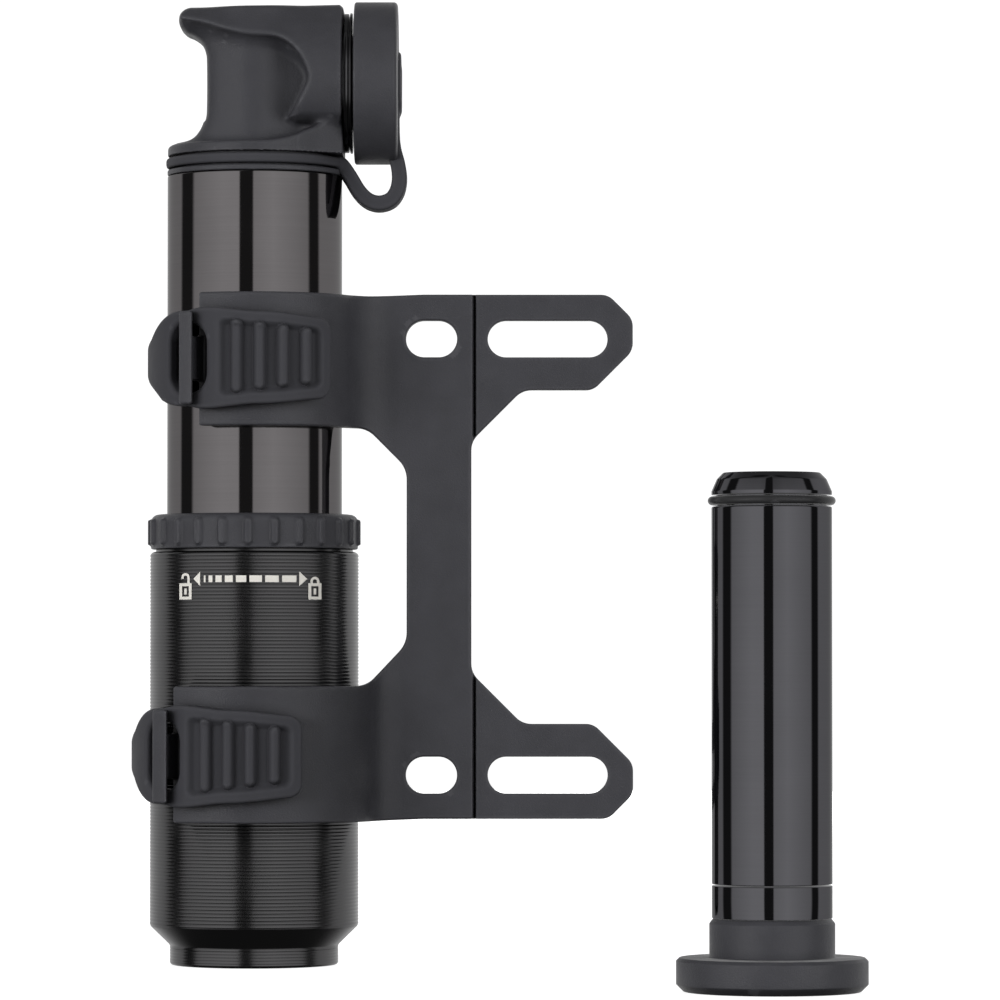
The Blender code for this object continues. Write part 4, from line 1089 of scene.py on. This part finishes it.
def build_world():
    """Soft studio: an even pale surround that mirrors as tall light panels with dark gaps between them."""
    world = bpy.data.worlds.new("studio")
    bpy.context.scene.world = world
    world.use_nodes = True
    t = Nodes(world.node_tree)
    background = world.node_tree.nodes["Background"]
    direction = t.add("ShaderNodeTexCoord").outputs["Generated"]
    parts = t.add("ShaderNodeSeparateXYZ")
    t.wire(direction, parts.inputs[0])
    x, y, z = parts.outputs
    # degrees from the camera's side, positive to the right
    azimuth = t.math("MULTIPLY", t.math("ARCTAN2", x, t.math("MULTIPLY", y, -1.0)), 180 / math.pi)
    left = t.ramp(t.math("ABSOLUTE", t.math("ADD", azimuth, 32.0)), 0.0, 70.0, 1.06, 0.62)
    right = t.ramp(t.math("ABSOLUTE", t.math("SUBTRACT", azimuth, 27.0)), 0.0, 55.0, 1.0, 0.66)
    side = t.ramp(azimuth, -12.0, -10.0, 0.0, 1.0)
    left = t.math("MULTIPLY", left, t.math("SUBTRACT", 1.0, side))
    level = t.math("MAXIMUM", t.math("ADD", left, t.math("MULTIPLY", right, side)), 0.55)
    for low, high, soft in PANEL_GAPS:
        rise = t.ramp(azimuth, low - soft, low + soft, 1.0, 0.0, "SMOOTHSTEP")
        fall = t.ramp(azimuth, high - soft, high + soft, 0.0, 1.0, "SMOOTHSTEP")
        level = t.math("MULTIPLY", level, t.math("MAXIMUM", rise, fall))
    below = t.ramp(z, -0.75, -0.30, 0.02, 1.0, "SMOOTHSTEP")
    above = t.ramp(z, 0.40, 0.90, 1.0, 0.25, "SMOOTHSTEP")
    level = t.math("MULTIPLY", t.math("MULTIPLY", level, below), above)
    level = t.math("MAXIMUM", level, 0.045)
    path = t.add("ShaderNodeLightPath")
    panels = t.mix(level, (0, 0, 0, 1), (1, 1, 1, 1))
    height = t.ramp(z, -0.15, 0.35, 0.05, 0.27, "SMOOTHSTEP")
    soft = t.mix(height, (0, 0, 0, 1), (1, 1, 1.03, 1))
    even = t.mix(path.outputs["Is Camera Ray"], soft, (1.0, 1.0, 1.0, 1))
    t.wire(t.mix(path.outputs["Is Glossy Ray"], even, panels), background.inputs["Color"])
    background.inputs["Strength"].default_value = 1.0


def aimed(name, data, place, aim):
    """Light or camera at a place that looks at another, both in metres from the datum."""
    made = bpy.data.objects.new(name, data)
    bpy.context.scene.collection.objects.link(made)
    made.location = DATUM + place
    made.rotation_mode = "QUATERNION"
    made.rotation_quaternion = (aim - place).to_track_quat("-Z", "Y")
    return made


def build_lights():
    """Softboxes in front, behind and above. They light the object and are not mirrored by it."""
    for name, place, wide, tall, power in (
            ("softbox_left", (-0.85, -0.95, 0.10), 0.7, 0.6, 28.0),
            ("softbox_right", (1.0, -0.8, 0.12), 0.7, 0.6, 17.5),
            ("softbox_back", (0.35, 0.95, 0.25), 0.7, 0.6, 10.0),
            ("softbox_top", (0.0, 0.0, 1.3), 1.2, 1.2, 0.8)):
        data = bpy.data.lights.new(name, "AREA")
        data.shape = "RECTANGLE"
        data.size, data.size_y = wide, tall
        data.energy = power
        light = aimed(name, data, Vector(place), Vector((0.03, 0.0, 0.07)))
        light.visible_glossy = False
        light.visible_camera = False


def build_camera():
    data = bpy.data.cameras.new("camera")
    data.sensor_width = 36.0
    data.lens = FOCAL_LENGTH
    data.clip_start, data.clip_end = 0.01, 20.0
    bpy.context.scene.camera = aimed("camera", data, EYE, AIM)


# ---- what stays as packed
def dress_cad_nodes():
    """Materials for the frame's own solids that stay in view or show in some pose."""
    finishes = {
        CHARCOAL: ("piston", "lock_wedge", "barrel_guide"),
        SOFT_RUBBER: ("bumper_ring",),
        SEAL_RUBBER: ("piston_o_ring", "guide_seal", "head_o_ring", "check_valve_disc"),
        STEEL: ("piston_bolt", "valve_seat"),
    }
    for material, names in finishes.items():
        for name in names:
            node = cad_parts[name]
            node.data.materials.clear()
            node.data.materials.append(material)
            node.data.shade_smooth()
            node.data.set_sharp_from_angle(angle=math.radians(35))


# ---- the whole scene
build_handle()
build_lock_collar()
build_lock_scale()
build_barrel()
build_head()
build_nozzle()
build_valve_spring()
build_cap()
build_tether()
build_bracket()
build_straps()
build_pins()
build_capsule()
dress_cad_nodes()
build_stage()
build_world()
build_lights()
build_camera()
bpy.context.scene.view_settings.view_transform = "Standard"
